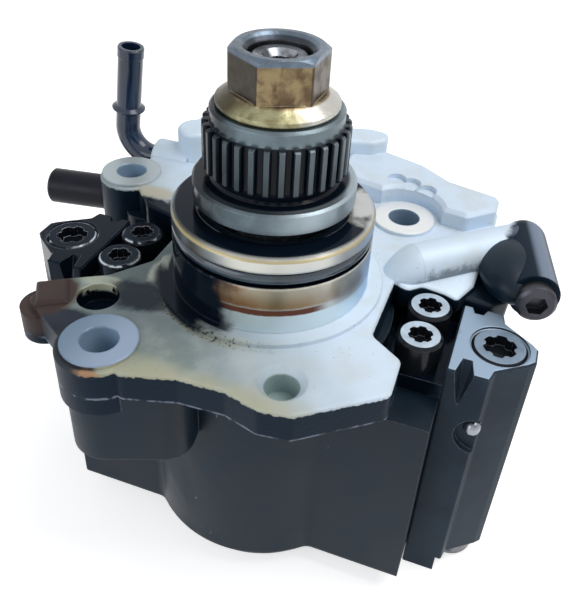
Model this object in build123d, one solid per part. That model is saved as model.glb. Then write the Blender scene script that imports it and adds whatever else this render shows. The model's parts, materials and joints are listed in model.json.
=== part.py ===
"""Diesel injection pump: two-plunger common rail pump with a toothed drive hub.

The drive shaft runs along Z through the centre of the mounting spigot, and the two
plungers lie along X.  The origin is the centre of the spigot at the mounting face,
+Z points out of the engine side of the pump, and all sizes are in millimetres.
"""
from build123d import *
import os
from math import atan2, cos, degrees, hypot, radians, sin, sqrt

# Fits and clearances
running_fit = 0.03
screw_clearance = 0.1
seat_gap = 0.3
flat_gap = 0.05

# Mounting spigot and its O-ring
spigot_d = 50.0
spigot_height = 21.0
spigot_chamfer = 1.0
spigot_pad_d = 58.0
spigot_pad_top_z = 0.0
o_ring_section = 3.5
o_ring_centre_z = 15.0
o_ring_groove_width = 4.2
o_ring_proud = -0.05

# Front flange plate
plate_top_z = -1.0
plate_bottom_z = -9.0
plate_corner_r = 2.6
pocket_x = 30.8
pocket_half_y = 13.0
wall_right_x = 52.0
wall_left_x = -59.0

# Mounting holes: two opposite on one circle, one extra ear, one dowel hole
mount_pcd = 96.0
mount_angle = 57.0
mount_hole_d = 9.0
boss_top_z = 0.0
boss_d = 18.0
lug_d = 20.6
lug_step_z = -14.0
lug_lower_d = 18.0
lug_inner_d = 25.0
lug_bottom_z = -30.5
ear_x = -59.0
ear_y = 31.4
ear_bottom_z = -22.0
dowel_x = 16.6
dowel_y = -36.1
dowel_hole_d = 8.0
dowel_hole_depth = 7.0
dowel_mouth_d = 11.6

# Stained pad and blind recess beside the left head
pad_x = -46.2
pad_y = -29.2
pad_length = 9.4
pad_width = 7.8
pad_angle = 32.0
pad_base_d = 12.0
recess_x = -35.4
recess_y = -26.0
recess_d = 10.4
recess_depth = 5.0

# Raised casting behind the hub
plateau_top_z = 4.5
bridge_top_z = 9.0
bridge_end_d = 12.4
bridge_end = (-46.2, 51.8)
scallop_d = 5.6
scallop_depth = 1.4
scallop_places = [(20.0, 54.4), (24.9, 53.4), (30.2, 51.0)]
boss_pocket_r = 10.8

# Cam housing
body_d = 66.0
arm_root_r = 4.0
body_bottom_z = -76.5
arm_half_y = 24.0
arm_reach = body_d / 2 + 16.3
arm_top_z = -16.0
cavity_d = 50.0
cavity_bottom_z = -63.0
cavity_top_z = -14.0
back_block_left_x = -57.0
back_block_right_x = 46.0
back_block_y = 60.0
back_block_bottom_z = -44.0

# Hydraulic heads
plunger_axis_z = -44.0
head_top_z = -5.3
head_bottom_z = -82.5
head_half_y = 13.2
head_back_x = arm_reach + 10.5
head_nose_x = arm_reach + 20.3
head_nose_half_y = 2.6
head_nose_root_half_y = 9.8
head_nose_bottom_z = -76.5
flute_x = arm_reach + 4.4
flute_inner_width = 2.4
flute_outer_width = 5.2
flute_depth = 5.6
flute_length = 10.5
drilling_x = arm_reach + 11.2
drilling_z = -25.0
drilling_d = 12.0
drilling_depth = 1.8
sealing_ball_d = 4.6
foot_inner_x = arm_reach - 14.7
foot_thickness = 4.5
foot_half_y = 12.4
barrel_d = 16.0
barrel_inner_x = arm_reach - 16.3
valve_bore_x = arm_reach + 11.1
valve_bore_d = 9.0
plug_d = 13.8
plug_height = 6.0
lower_plug_height = 12.0
plug_chamfer = 0.6
plug_mouth_width = 0.4
plug_torx_d = 8.4
lower_plug_end_z = -82.2

# Head screws
head_screw_x = arm_reach - 7.9
head_screw_y = 6.1
head_screw_d = 6.0
head_screw_head_d = 11.4
head_screw_head_height = 8.6
head_screw_length = 15.0
lower_screw_length = 11.0
lower_foot_seat_z = -68.0
foot_pocket_gap = 0.3
screw_torx_d = 6.2
torx_depth = 3.0

# Drive shaft
shaft_journal_d = spigot_d - 24.0
taper_large_d = 21.0
taper_small_d = 17.0
thread_d = 14.0
shaft_end_z = 57.8
shaft_bottom_z = -80.0
rear_journal_d = 22.0
eccentric_d = 26.0
eccentric_throw = 3.0
eccentric_length = 24.0
shaft_centre_hole_d = 5.2
bush_wall = 2.0
front_bush_length = 18.0
front_bush_bottom_z = -10.0
seal_seat_d = spigot_d - 12.0
seal_height = 7.0
seal_top_z = 19.6

# Drive hub
collar_d = 39.4
collar_bottom_z = 23.2
collar_top_z = 28.8
neck_d = 30.0
teeth_bottom_z = 31.6
teeth_top_z = 42.7
tooth_count = 32
tooth_phase = 2.1
tooth_tip_d = 34.4
tooth_root_d = 31.2
band_d = 31.0
hub_top_z = 46.5

# Hub nut
nut_flange_d = 28.4
nut_flange_height = 3.0
nut_across_flats = 20.0
nut_top_z = 60.0
nut_phase = -2.0
nut_bore_chamfer = 1.6
nut_edge_r = 1.2

# Plungers, rider and tappets
rider_across_flats = 30.0
rider_corner_d = 33.0
rider_bush_wall = 1.5
rider_height = 22.0
tappet_d = 24.0
tappet_length = 12.0
tappet_floor = 4.0
plunger_d = 7.0
plunger_length = 27.0
plunger_spring_d = 20.4
plunger_spring_wire = 1.8
plunger_spring_turns = 4

# Valves inside the heads
inlet_valve_d = 7.6
inlet_stem_d = 3.0
inlet_collar_d = 6.0
inlet_spring_length = 4.6
outlet_ball_d = 5.0
valve_seat_height = 5.0
valve_seat_bore_d = 3.6
chamber_half_height = 4.2
outlet_seat_bore_d = 3.2
valve_bore_above = 14.0
valve_bore_below = 19.0
upper_channel_d = 7.0
lower_channel_d = 2.4
valve_spring_wire = 0.7

# Outlet unions on the hidden side of the heads
union_x = arm_reach + 9.3
union_z = -57.0
union_boss_d = 16.0
union_seat_y = 14.2
union_d = 12.0
union_length = 20.0
union_nose_d = 6.4
union_hex_across_flats = 14.0
union_hex_length = 6.0
union_bore_d = 3.0

# Fuel pipes and gallery
return_pipe_d = 7.8
return_pipe_y = 50.0
return_pipe_z = -4.5
return_pipe_out_x = -71.8
return_pipe_lean = 7.2
return_pipe_rise = 37.0
return_bead_rise = 16.2
return_bead_d = 10.5
return_bead_half = 1.0
return_lip_d = 8.2
return_lip_length = 2.8
return_boss_d = 13.0
return_bend_r = 9.0
inlet_pipe_d = 11.0
inlet_pipe_end_d = 11.8
inlet_pipe_bore_d = 8.0
inlet_flare_start = 16.0
inlet_flare_end = 21.0
inlet_pipe_y = 47.6
inlet_pipe_z = -19.0
inlet_pipe_length = 40.0
inlet_pipe_angle = 190.0
pipe_socket = 8.0
gallery_d = 12.0
gallery_start = (34.0, 17.0)
gallery_corner = (60.5, 41.0)
branch_d = 13.0
branch_end = (66.0, 16.5)
gallery_plug_d = 10.4
gallery_plug_length = 9.0
gallery_plug_hex = 5.0

# Inlet metering valve on the hidden side
metering_x = 12.0
metering_z = -28.0
metering_body_d = 22.0
metering_length = 30.0
metering_flange_d = 26.0
metering_flange_thickness = 5.0
metering_screw_x = 17.5
metering_ear_d = 11.0
metering_screw_d = 5.0
metering_screw_grip = 10.0
metering_screw_head_height = 4.0
metering_bore_d = 9.0
spool_d = 8.9
spool_length = 20.0
spool_inset = 24.0
spool_waist_start = 6.0
spool_waist_length = 4.0
connector_length = 16.0
connector_width = 18.0
connector_height = 11.0
connector_wall = 1.6

# Rear cover and housing screws
cover_d = 58.0
cover_thickness = 6.0
cover_spigot_d = 40.0
cover_spigot_height = 5.0
cover_screw_pcd = 46.0
cover_screw_count = 4
cover_screw_d = 5.0
cover_screw_head_d = 8.5
cover_screw_head_height = 2.8
cover_screw_length = 14.0
housing_screw_d = 6.0
housing_screw_head_d = 10.0
housing_screw_head_height = 6.0
housing_screw_front = (-12.5, -37.0)
housing_screw_front_wall = 2.0
housing_screw_back = (42.0, 52.0)
housing_screw_front_seat_z = -20.0

pieces = {}


def cylinder_z(radius, low, high, x=0.0, y=0.0):
    """Upright cylinder between two heights."""
    return Pos(x, y, (low + high) / 2) * Cylinder(radius, high - low)


def cylinder_x(radius, low, high, y=0.0, z=plunger_axis_z):
    """Cylinder along X between two places."""
    return Pos((low + high) / 2, y, z) * Rot(0, 90, 0) * Cylinder(radius, high - low)


def cylinder_y(radius, low, high, x=0.0, z=0.0):
    """Cylinder along Y between two places."""
    return Pos(x, (low + high) / 2, z) * Rot(90, 0, 0) * Cylinder(radius, high - low)


def slab(outline, low, high):
    """Flat outline in XY raised between two heights."""
    return extrude(Pos(0, 0, low) * outline, amount=high - low)


def rounded_outline(points, corner_r):
    """Closed outline through the points with one corner radius."""
    face = make_face(Polyline(*points, close=True))
    return fillet(face.vertices(), corner_r)


def turned(profile):
    """Solid turned about Z from (radius, height) points."""
    points = [(radius, 0, height) for radius, height in profile]
    face = make_face(Polyline(*points, close=True))
    return revolve(face, axis=Axis.Z)


def hexagon(across_flats):
    """Hexagon with flats square to X."""
    return Rot(0, 0, 30) * RegularPolygon(across_flats / sqrt(3), 6)


def torx_socket(across):
    """Six-lobed socket that opens upwards at height zero."""
    lobe_r = across * 0.13
    flute = PolarLocations(across / 2 + lobe_r * 0.35, 6) * Circle(lobe_r)
    star = Circle(across / 2) - flute
    return extrude(Pos(0, 0, -torx_depth) * star, amount=torx_depth + 1)


def both_sides(name, solid):
    """Keep the right piece and its mirror image as the left one."""
    pieces[name + "_right"] = solid
    pieces[name + "_left"] = mirror(solid, about=Plane.YZ)


mount_x = mount_pcd / 2 * cos(radians(mount_angle))
mount_y = mount_pcd / 2 * sin(radians(mount_angle))
boss_centres = [(-mount_x, -mount_y), (mount_x, mount_y), (ear_x, ear_y)]


def plate_outline():
    """Outline of the flange plate seen from the engine side."""
    right = [
        (-17.0, -47.4),
        (-5.0, -43.8),
        (6.0, -43.2),
        (14.5, -45.6),
        (22.0, -44.6),
        (39.8, -30.8),
        (39.4, -19.0),
        (pocket_x, -pocket_half_y),
        (pocket_x, pocket_half_y + 4),
        (wall_right_x, 36.0),
        (wall_right_x, 57.0),
        (36.0, 60.5),
        (26.0, 68.0),
        (13.0, 72.0),
        (7.0, 77.0),
    ]
    left = [
        (-50.0, 59.5),
        (wall_left_x, 56.0),
        (wall_left_x, ear_y),
        (-46.0, 17.0),
        (-pocket_x, pocket_half_y),
        (-pocket_x, -pocket_half_y + 6),
        (-38.0, -17.0),
        (-50.0, -24.5),
        (-50.5, -33.0),
        (-34.0, -43.0),
    ]
    outline = rounded_outline(right + left, plate_corner_r)
    outline += Pos(-mount_x, -mount_y) * Circle(lug_d / 2)
    outline += Pos(ear_x, ear_y) * Circle(boss_d / 2 + 0.6)
    return outline


def raised_casting():
    """Plateau and bridge behind the hub, with the pocket round the boss."""
    plateau = rounded_outline(
        [
            (2.0, 50.0),
            (34.0, 43.0),
            (44.0, 41.5),
            (wall_right_x - 0.5, 49.0),
            (wall_right_x - 0.5, 56.5),
            (36.0, 60.0),
            (26.0, 67.0),
            (13.0, 71.0),
            (2.0, 70.0),
        ],
        2.0,
    )
    plateau -= Pos(mount_x, mount_y) * Circle(boss_pocket_r)
    raised = slab(plateau, plate_top_z - 1, plateau_top_z)
    raised = chamfer(raised.faces().sort_by(Axis.Z)[-1].edges(), 1.2)
    bridge = rounded_outline(
        [
            (-50.5, 47.6),
            (-45.0, 49.0),
            (9.0, 66.0),
            (12.5, 70.0),
            (12.0, 75.0),
            (6.0, 76.0),
            (-49.0, 58.5),
        ],
        2.0,
    )
    bridge += Pos(*bridge_end) * Circle(bridge_end_d / 2)
    ridge = slab(bridge, plate_top_z - 1, bridge_top_z)
    ridge = fillet(ridge.faces().sort_by(Axis.Z)[-1].edges(), 1.5)
    for x, y in scallop_places:
        raised -= cylinder_z(scallop_d / 2, plateau_top_z - scallop_depth, plateau_top_z + 1, x, y)
    return raised + ridge


def gallery_tube(start, end, diameter):
    """Horizontal fuel gallery cast on the plate, between two XY points."""
    run = hypot(end[0] - start[0], end[1] - start[1])
    heading = degrees(atan2(end[1] - start[1], end[0] - start[0]))
    rod = Rot(0, 90, 0) * Cylinder(diameter / 2, run)
    middle = Pos((start[0] + end[0]) / 2, (start[1] + end[1]) / 2, 0)
    return middle * Rot(0, 0, heading) * rod


def front_flange():
    """Cast plate that carries the spigot, the bosses and the fuel gallery."""
    casting = slab(plate_outline(), plate_bottom_z, plate_top_z)
    casting = chamfer(casting.faces().sort_by(Axis.Z)[-1].edges(), 0.5)
    casting += raised_casting()
    casting += cylinder_z(spigot_pad_d / 2, plate_top_z - 1, spigot_pad_top_z)
    for x, y in boss_centres:
        casting += cylinder_z(boss_d / 2, plate_top_z - 1, boss_top_z, x, y)
    casting += cylinder_z(lug_d / 2, lug_step_z, plate_bottom_z + 1, -mount_x, -mount_y)
    casting += cylinder_z(boss_d / 2 + 0.6, ear_bottom_z, plate_bottom_z + 1, ear_x, ear_y)
    pad = Pos(pad_x, pad_y, (plate_bottom_z + boss_top_z) / 2) * Rot(0, 0, pad_angle)
    pad *= Box(pad_width, pad_length, boss_top_z - plate_bottom_z)
    casting += chamfer(pad.faces().sort_by(Axis.Z)[-1].edges(), 0.8)
    base_low = plate_bottom_z - 2
    casting += cylinder_z(pad_base_d / 2, base_low, plate_top_z - 2, pad_x - 1, pad_y - 2)
    casting += return_boss(0.0)
    casting += gallery_tube(gallery_start, gallery_corner, gallery_d)
    casting += gallery_tube(gallery_corner, branch_end, branch_d)
    casting += Pos(gallery_corner[0], gallery_corner[1], 0) * Sphere(branch_d / 2)
    spigot_r = spigot_d / 2
    bush_r = shaft_journal_d / 2 + bush_wall
    groove_r = spigot_r + o_ring_proud - o_ring_section
    groove_low = o_ring_centre_z - o_ring_groove_width / 2
    groove_high = o_ring_centre_z + o_ring_groove_width / 2
    casting += turned(
        [
            (bush_r - 1, plate_bottom_z),
            (spigot_r, plate_bottom_z),
            (spigot_r, groove_low),
            (groove_r, groove_low),
            (groove_r, groove_high),
            (spigot_r, groove_high),
            (spigot_r, spigot_height - spigot_chamfer),
            (spigot_r - spigot_chamfer, spigot_height),
            (bush_r - 1, spigot_height),
        ]
    )
    casting -= cylinder_z(bush_r, plate_bottom_z - 1, spigot_height + 1)
    casting -= cylinder_z(seal_seat_d / 2, seal_top_z - seal_height, spigot_height + 1)
    for x, y in boss_centres:
        casting -= cylinder_z(mount_hole_d / 2, ear_bottom_z - 1, boss_top_z + 1, x, y)
    casting -= cylinder_z(dowel_hole_d / 2, plate_top_z - dowel_hole_depth, 0, dowel_x, dowel_y)
    mouth = Cone(dowel_hole_d / 2, dowel_mouth_d / 2, 1.8)
    casting -= Pos(dowel_x, dowel_y, plate_top_z - 0.8) * mouth
    casting -= cylinder_z(recess_d / 2, plate_top_z - recess_depth, 0, recess_x, recess_y)
    casting -= plug_hole_cut()
    casting -= return_pipe_hole()
    thread_r = housing_screw_d / 2 + flat_gap
    for x, y in housing_screw_places():
        casting -= cylinder_z(thread_r, plate_bottom_z - 1, plate_bottom_z + 5, x, y)
    return casting


def return_boss(gap):
    """Round boss for the return pipe, or its cutter when there is a gap."""
    boss_r = return_boss_d / 2 + gap
    inner_x = wall_left_x + 12 + gap
    return cylinder_x(boss_r, wall_left_x - 0.6 - gap, inner_x, return_pipe_y, return_pipe_z)


def plug_hole_cut():
    """Threaded mouth at the end of the branch gallery."""
    heading = degrees(atan2(branch_end[1] - gallery_corner[1], branch_end[0] - gallery_corner[0]))
    hole = Rot(0, 90, 0) * Cylinder(gallery_plug_d / 2 - 2 + flat_gap, 14)
    return Pos(branch_end[0], branch_end[1], 0) * Rot(0, 0, heading) * hole


def gallery_plug():
    """Socket plug screwed into the branch gallery."""
    heading = degrees(atan2(branch_end[1] - gallery_corner[1], branch_end[0] - gallery_corner[0]))
    head_length = gallery_plug_length - 5
    stem = Cylinder(gallery_plug_d / 2 - 2, 6)
    head = Cylinder(gallery_plug_d / 2, head_length)
    head = chamfer(head.faces().sort_by(Axis.Z)[-1].edges(), 0.8)
    plug = Pos(0, 0, head_length / 2) * head + Pos(0, 0, -3) * stem
    plug -= Pos(0, 0, head_length - 2.5) * extrude(hexagon(gallery_plug_hex), amount=3)
    return Pos(branch_end[0], branch_end[1], 0) * Rot(0, 0, heading) * Rot(0, 90, 0) * plug


def housing_screw_places():
    """Screws that hold the cam housing to the flange plate."""
    back_x, back_y = housing_screw_back
    return [housing_screw_front, (back_x, back_y), (-back_x, back_y)]


def cam_housing():
    """Cast housing with the cam chamber and the two tappet bores."""
    body = cylinder_z(body_d / 2, body_bottom_z, plate_bottom_z)
    arms = Box(2 * arm_reach, 2 * arm_half_y, arm_top_z - body_bottom_z)
    body += Pos(0, 0, (body_bottom_z + arm_top_z) / 2) * arms
    roots = body.edges().filter_by(Axis.Z).filter_by(lambda edge: abs(edge.center().X) < body_d / 2)
    body = fillet([edge for edge in roots if abs(abs(edge.center().Y) - arm_half_y) < 0.1], arm_root_r)
    back = rounded_outline(
        [
            (back_block_left_x, 20.0),
            (back_block_right_x, 20.0),
            (back_block_right_x, back_block_y),
            (back_block_left_x, back_block_y),
        ],
        5.0,
    )
    body += slab(back, back_block_bottom_z, plate_bottom_z)
    bottom_edges = body.faces().sort_by(Axis.Z)[0].edges()
    body = fillet(bottom_edges, 2.0)
    lug = Pos(-mount_x, -mount_y) * Circle(lug_lower_d / 2)
    lug += Pos(-mount_x + 6, -mount_y + 18) * Circle(lug_inner_d / 2)
    head_r = housing_screw_head_d / 2 + screw_clearance
    lug += Pos(*housing_screw_front) * Circle(head_r + housing_screw_front_wall)
    body += slab(make_hull(lug.edges()), lug_bottom_z, plate_bottom_z)
    body -= cylinder_z(lug_d / 2 + flat_gap, lug_step_z, plate_bottom_z + 1, -mount_x, -mount_y)
    body -= cylinder_z(cavity_d / 2, cavity_bottom_z, cavity_top_z)
    body -= cylinder_z(shaft_journal_d / 2 + bush_wall, cavity_top_z - 1, plate_bottom_z + 1)
    body -= cylinder_z(cover_spigot_d / 2 + running_fit, body_bottom_z - 1, cavity_bottom_z + 1)
    body -= cylinder_x(tappet_d / 2 + running_fit, -arm_reach - 1, arm_reach + 1)
    body -= cylinder_z(mount_hole_d / 2, lug_bottom_z - 1, plate_bottom_z + 1, -mount_x, -mount_y)
    screw_hole_r = housing_screw_d / 2 + screw_clearance
    for (x, y), low in zip(housing_screw_places(), [lug_bottom_z] + [back_block_bottom_z] * 2):
        body -= cylinder_z(screw_hole_r, low - 1, 0, x, y)
    front_x, front_y = housing_screw_front
    body -= cylinder_z(head_r, lug_bottom_z - 1, housing_screw_front_seat_z, front_x, front_y)
    thread_r = head_screw_d / 2 + flat_gap
    pocket_run = arm_reach + 1 - foot_inner_x + foot_pocket_gap
    pocket_drop = lower_foot_seat_z - body_bottom_z + 1
    for side in (-1, 1):
        pocket = Box(pocket_run, 2 * (foot_half_y + foot_pocket_gap), pocket_drop)
        pocket_x_centre = side * (arm_reach + 1 - pocket_run / 2)
        body -= Pos(pocket_x_centre, 0, lower_foot_seat_z - pocket_drop / 2) * pocket
        for y in (-head_screw_y, head_screw_y):
            x = side * head_screw_x
            body -= cylinder_z(thread_r, arm_top_z - head_screw_length, arm_top_z + 1, x, y)
            top = lower_foot_seat_z + lower_screw_length
            body -= cylinder_z(thread_r, lower_foot_seat_z - 1, top, x, y)
    cover_thread_r = cover_screw_d / 2 + flat_gap
    for x, y in cover_screw_places():
        body -= cylinder_z(cover_thread_r, body_bottom_z - 1, body_bottom_z + 10, x, y)
    body -= cylinder_z(boss_d / 2 + 0.6 + flat_gap, back_block_bottom_z - 1, 0, ear_x, ear_y)
    body -= cylinder_z(mount_hole_d / 2, back_block_bottom_z - 1, 0, mount_x, mount_y)
    body -= return_boss(flat_gap)
    for x in (-metering_screw_x, metering_screw_x):
        hole_r = metering_screw_d / 2 + flat_gap
        hole_y = back_block_y - metering_screw_grip - 1
        body -= cylinder_y(hole_r, hole_y, back_block_y + 1, metering_x + x, metering_z)
    stem_r = metering_bore_d / 2 + 2
    body -= cylinder_y(stem_r, back_block_y - 26, back_block_y + 1, metering_x, metering_z)
    body -= inlet_pipe_hole()
    return body


def cover_screw_places():
    """Rear cover screws, spaced evenly between the feet of the heads."""
    spots = []
    for index in range(cover_screw_count):
        angle = radians(45 + index * 360 / cover_screw_count)
        spots.append((cover_screw_pcd / 2 * cos(angle), cover_screw_pcd / 2 * sin(angle)))
    return spots


def rear_cover():
    """Round cover with the rear bearing."""
    low = body_bottom_z - cover_thickness
    cover = cylinder_z(cover_d / 2, low, body_bottom_z)
    cover = chamfer(cover.faces().sort_by(Axis.Z)[0].edges(), 1.0)
    cover += cylinder_z(cover_spigot_d / 2, body_bottom_z - 1, body_bottom_z + cover_spigot_height)
    bush_r = rear_journal_d / 2 + bush_wall
    cover -= cylinder_z(bush_r, low + 2, body_bottom_z + cover_spigot_height + 1)
    for x, y in cover_screw_places():
        cover -= cylinder_z(cover_screw_d / 2 + screw_clearance, low - 1, body_bottom_z + 1, x, y)
        head_r = cover_screw_head_d / 2 + screw_clearance
        cover -= cylinder_z(head_r, low - 1, low + cover_screw_head_height, x, y)
    return cover


def cover_screws():
    """Socket screws of the rear cover."""
    low = body_bottom_z - cover_thickness
    seat = low + cover_screw_head_height
    screws = []
    for x, y in cover_screw_places():
        screw = cylinder_z(cover_screw_d / 2, seat, seat + cover_screw_length - 2, x, y)
        screw += cylinder_z(cover_screw_head_d / 2, low + 0.3, seat, x, y)
        screw -= slab(Pos(x, y) * hexagon(cover_screw_d * 0.8), low - 0.5, low + 1.8)
        screws.append(screw)
    return Compound(children=screws)


def housing_screws():
    """Socket screws that come up from the hidden side into the plate."""
    screws = []
    places = housing_screw_places()
    seats = [housing_screw_front_seat_z] + [back_block_bottom_z] * 2
    for (x, y), seat in zip(places, seats):
        screw = cylinder_z(housing_screw_d / 2, seat, plate_bottom_z + 4.5, x, y)
        screw += cylinder_z(housing_screw_head_d / 2, seat - housing_screw_head_height, seat, x, y)
        socket = Pos(x, y) * hexagon(housing_screw_d * 0.83)
        screw -= slab(socket, seat - housing_screw_head_height - 1, seat - 3)
        screws.append(screw)
    return Compound(children=screws)


def ring(centre_r, section, z):
    """O-ring about the shaft axis."""
    return Pos(0, 0, z) * Torus(centre_r, section / 2)


def head_outline():
    """Plan of the right head: a block with side notches and a tapered nose."""
    back = [
        (arm_reach, -head_half_y),
        (head_back_x, -head_half_y),
        (head_back_x + 0.8, -head_nose_root_half_y),
        (head_nose_x - 1.5, -head_nose_half_y - 1.6),
        (head_nose_x, -head_nose_half_y),
    ]
    points = back + [(x, -y) for x, y in reversed(back)]
    face = make_face(Polyline(*points, close=True))
    return fillet(face.vertices(), 0.7)


def flute(side, depth):
    """Tapered groove that runs out down one side of the right head."""
    sections = []
    shapes = [(flute_inner_width, flute_outer_width, depth, 0), (0.3, 1.5, 0.3, flute_length)]
    for inner, outer, reach, drop in shapes:
        inner_y = side * (head_half_y - reach)
        outer_y = side * (head_half_y + 1)
        points = [
            (flute_x - inner / 2, inner_y),
            (flute_x + inner / 2, inner_y),
            (flute_x + outer / 2, outer_y),
            (flute_x - outer / 2, outer_y),
        ]
        height = head_top_z + 0.5 - drop
        sections.append(Pos(0, 0, height) * make_face(Polyline(*points, close=True)))
    return loft(sections)


def drilling(radius, start, end):
    """Cross drilling in the near side of the right head."""
    return cylinder_y(radius, start, end, drilling_x, drilling_z)


def sealing_ball(gap):
    """Ball pressed into the cross drilling, or its cutter when there is a gap."""
    ball_y = -head_half_y + drilling_depth
    return Pos(drilling_x - 2, ball_y, drilling_z + 2) * Sphere(sealing_ball_d / 2 + gap)


def hydraulic_head():
    """Right head with its feet, barrel and upright valve bore."""
    head = slab(head_outline(), head_bottom_z, head_top_z)
    head = chamfer(head.faces().sort_by(Axis.Z)[-1].edges(), 0.5)
    nose_run = 2 * (head_nose_x - head_back_x)
    undercut = Box(nose_run, 3 * head_half_y, head_nose_bottom_z - head_bottom_z + 1)
    undercut_z = (head_nose_bottom_z + head_bottom_z - 1) / 2
    head -= Pos(head_back_x - 1.5 + nose_run / 2, 0, undercut_z) * undercut
    head -= flute(-1, flute_depth)
    head -= flute(1, flute_depth / 2)
    head -= drilling(drilling_d / 2, -head_half_y - 1, -head_half_y + drilling_depth)
    head -= sealing_ball(0.02)
    foot_run = arm_reach - foot_inner_x + 1
    for seat, outward in ((arm_top_z, 1), (lower_foot_seat_z, -1)):
        foot = Box(foot_run, 2 * foot_half_y, foot_thickness)
        foot = fillet(foot.edges().filter_by(Axis.Z).sort_by(Axis.X)[:2], 3.0)
        head += Pos(foot_inner_x + foot_run / 2, 0, seat + outward * foot_thickness / 2) * foot
    head += cylinder_x(barrel_d / 2, barrel_inner_x, arm_reach + 1)
    head -= cylinder_x(plunger_d / 2 + running_fit, barrel_inner_x - 1, valve_bore_x)
    bore_low = plunger_axis_z - valve_bore_below
    bore_high = plunger_axis_z + valve_bore_above
    head -= cylinder_z(valve_bore_d / 2, bore_low, bore_high, valve_bore_x)
    upper_plug_z = head_top_z - plug_height
    lower_plug_z = lower_plug_end_z + lower_plug_height
    plug_r = plug_d / 2 + flat_gap
    head -= cylinder_z(plug_r, upper_plug_z, head_top_z + 1, valve_bore_x)
    mouth_r = plug_r + plug_mouth_width
    head -= cylinder_z(mouth_r, head_top_z - plug_chamfer, head_top_z + 1, valve_bore_x)
    head -= cylinder_z(plug_r, head_bottom_z - 1, lower_plug_z, valve_bore_x)
    head -= cylinder_z(upper_channel_d / 2, bore_high - 1, upper_plug_z + 1, valve_bore_x)
    head -= cylinder_z(lower_channel_d / 2, lower_plug_z - 1, bore_low + 1, valve_bore_x)
    hole_r = head_screw_d / 2 + screw_clearance
    for y in (-head_screw_y, head_screw_y):
        head -= cylinder_z(hole_r, head_bottom_z - 1, head_top_z, head_screw_x, y)
    head += cylinder_y(union_boss_d / 2, valve_bore_d / 2 + 1.5, union_seat_y, union_x, union_z)
    head -= cylinder_y(union_d / 2 - 1.5, union_seat_y - 8, union_seat_y + 1, union_x, union_z)
    head -= cylinder_y(union_bore_d / 2, 0, union_seat_y, union_x, union_z)
    return head


def valve_plug(end_z, outward, height):
    """Plug that closes one end of the upright valve bore."""
    plug = Cylinder(plug_d / 2, height)
    top_edges = plug.faces().sort_by(Axis.Z)[-1].edges()
    plug = Pos(0, 0, -height / 2) * chamfer(top_edges, plug_chamfer)
    plug -= torx_socket(plug_torx_d)
    if outward < 0:
        plug = Rot(180, 0, 0) * plug
    return Pos(valve_bore_x, 0, end_z) * plug


def head_screw_set():
    """Four socket screws that clamp one head by its upper and lower feet."""
    screws = []
    upper = (arm_top_z + foot_thickness, 1, head_screw_length)
    lower = (lower_foot_seat_z - foot_thickness, -1, lower_screw_length)
    for seat, outward, length in (upper, lower):
        for y in (-head_screw_y, head_screw_y):
            cap = cylinder_z(head_screw_head_d / 2, 0, head_screw_head_height)
            cap = chamfer(cap.faces().sort_by(Axis.Z)[-1].edges(), 0.8)
            screw = cap - Pos(0, 0, head_screw_head_height) * torx_socket(screw_torx_d)
            reach = foot_thickness + length - 1
            screw += cylinder_z(head_screw_d / 2, -reach, 0)
            if outward < 0:
                screw = Rot(180, 0, 0) * screw
            screws.append(Pos(head_screw_x, y, seat) * screw)
    return Compound(children=screws)


def drive_shaft():
    """Shaft with its eccentric, journals, taper and threaded end."""
    journal_r = shaft_journal_d / 2
    rear_r = rear_journal_d / 2
    thread_r = thread_d / 2
    web_top = plunger_axis_z + eccentric_length / 2
    web_bottom = plunger_axis_z - eccentric_length / 2
    shaft = turned(
        [
            (0, shaft_bottom_z),
            (rear_r, shaft_bottom_z),
            (rear_r, web_bottom),
            (0, web_bottom),
        ]
    )
    shaft += turned(
        [
            (0, web_top),
            (journal_r, web_top),
            (journal_r, collar_bottom_z - 4),
            (taper_large_d / 2, collar_bottom_z - 1),
            (taper_large_d / 2, collar_bottom_z),
            (taper_small_d / 2, hub_top_z - 1),
            (thread_r, hub_top_z - 1),
            (thread_r, shaft_end_z - 1),
            (thread_r - 1, shaft_end_z),
            (0, shaft_end_z),
        ]
    )
    shaft += cylinder_z(eccentric_d / 2, web_bottom - 1, web_top + 1, eccentric_throw)
    shaft -= cylinder_z(shaft_centre_hole_d / 2, shaft_end_z - 8, shaft_end_z + 1)
    mouth = Cone(shaft_centre_hole_d / 2, shaft_centre_hole_d / 2 + 1.4, 1.4)
    shaft -= Pos(0, 0, shaft_end_z - 0.7) * mouth
    return shaft


def tooth_band():
    """Ring of straight teeth on the hub."""
    pitch = 360 / tooth_count
    tip_r = tooth_tip_d / 2
    root_r = tooth_root_d / 2
    tip_half = radians(pitch * 0.17)
    root_half = radians(pitch * 0.30)
    base_r = root_r - 0.5
    tooth = make_face(
        Polyline(
            (base_r * cos(root_half), -base_r * sin(root_half)),
            (root_r * cos(root_half), -root_r * sin(root_half)),
            (tip_r * cos(tip_half), -tip_r * sin(tip_half)),
            (tip_r * cos(tip_half), tip_r * sin(tip_half)),
            (root_r * cos(root_half), root_r * sin(root_half)),
            (base_r * cos(root_half), base_r * sin(root_half)),
            close=True,
        )
    )
    gear = Circle(root_r)
    for index in range(tooth_count):
        gear += Rot(0, 0, tooth_phase + index * pitch) * tooth
    band = slab(gear, teeth_bottom_z, teeth_top_z)
    bevel = turned(
        [
            (0, teeth_bottom_z - 1),
            (root_r, teeth_bottom_z - 1),
            (tip_r + 1, teeth_bottom_z + 1.2),
            (tip_r + 1, teeth_top_z - 1.2),
            (root_r, teeth_top_z + 1),
            (0, teeth_top_z + 1),
        ]
    )
    return band & bevel


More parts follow.
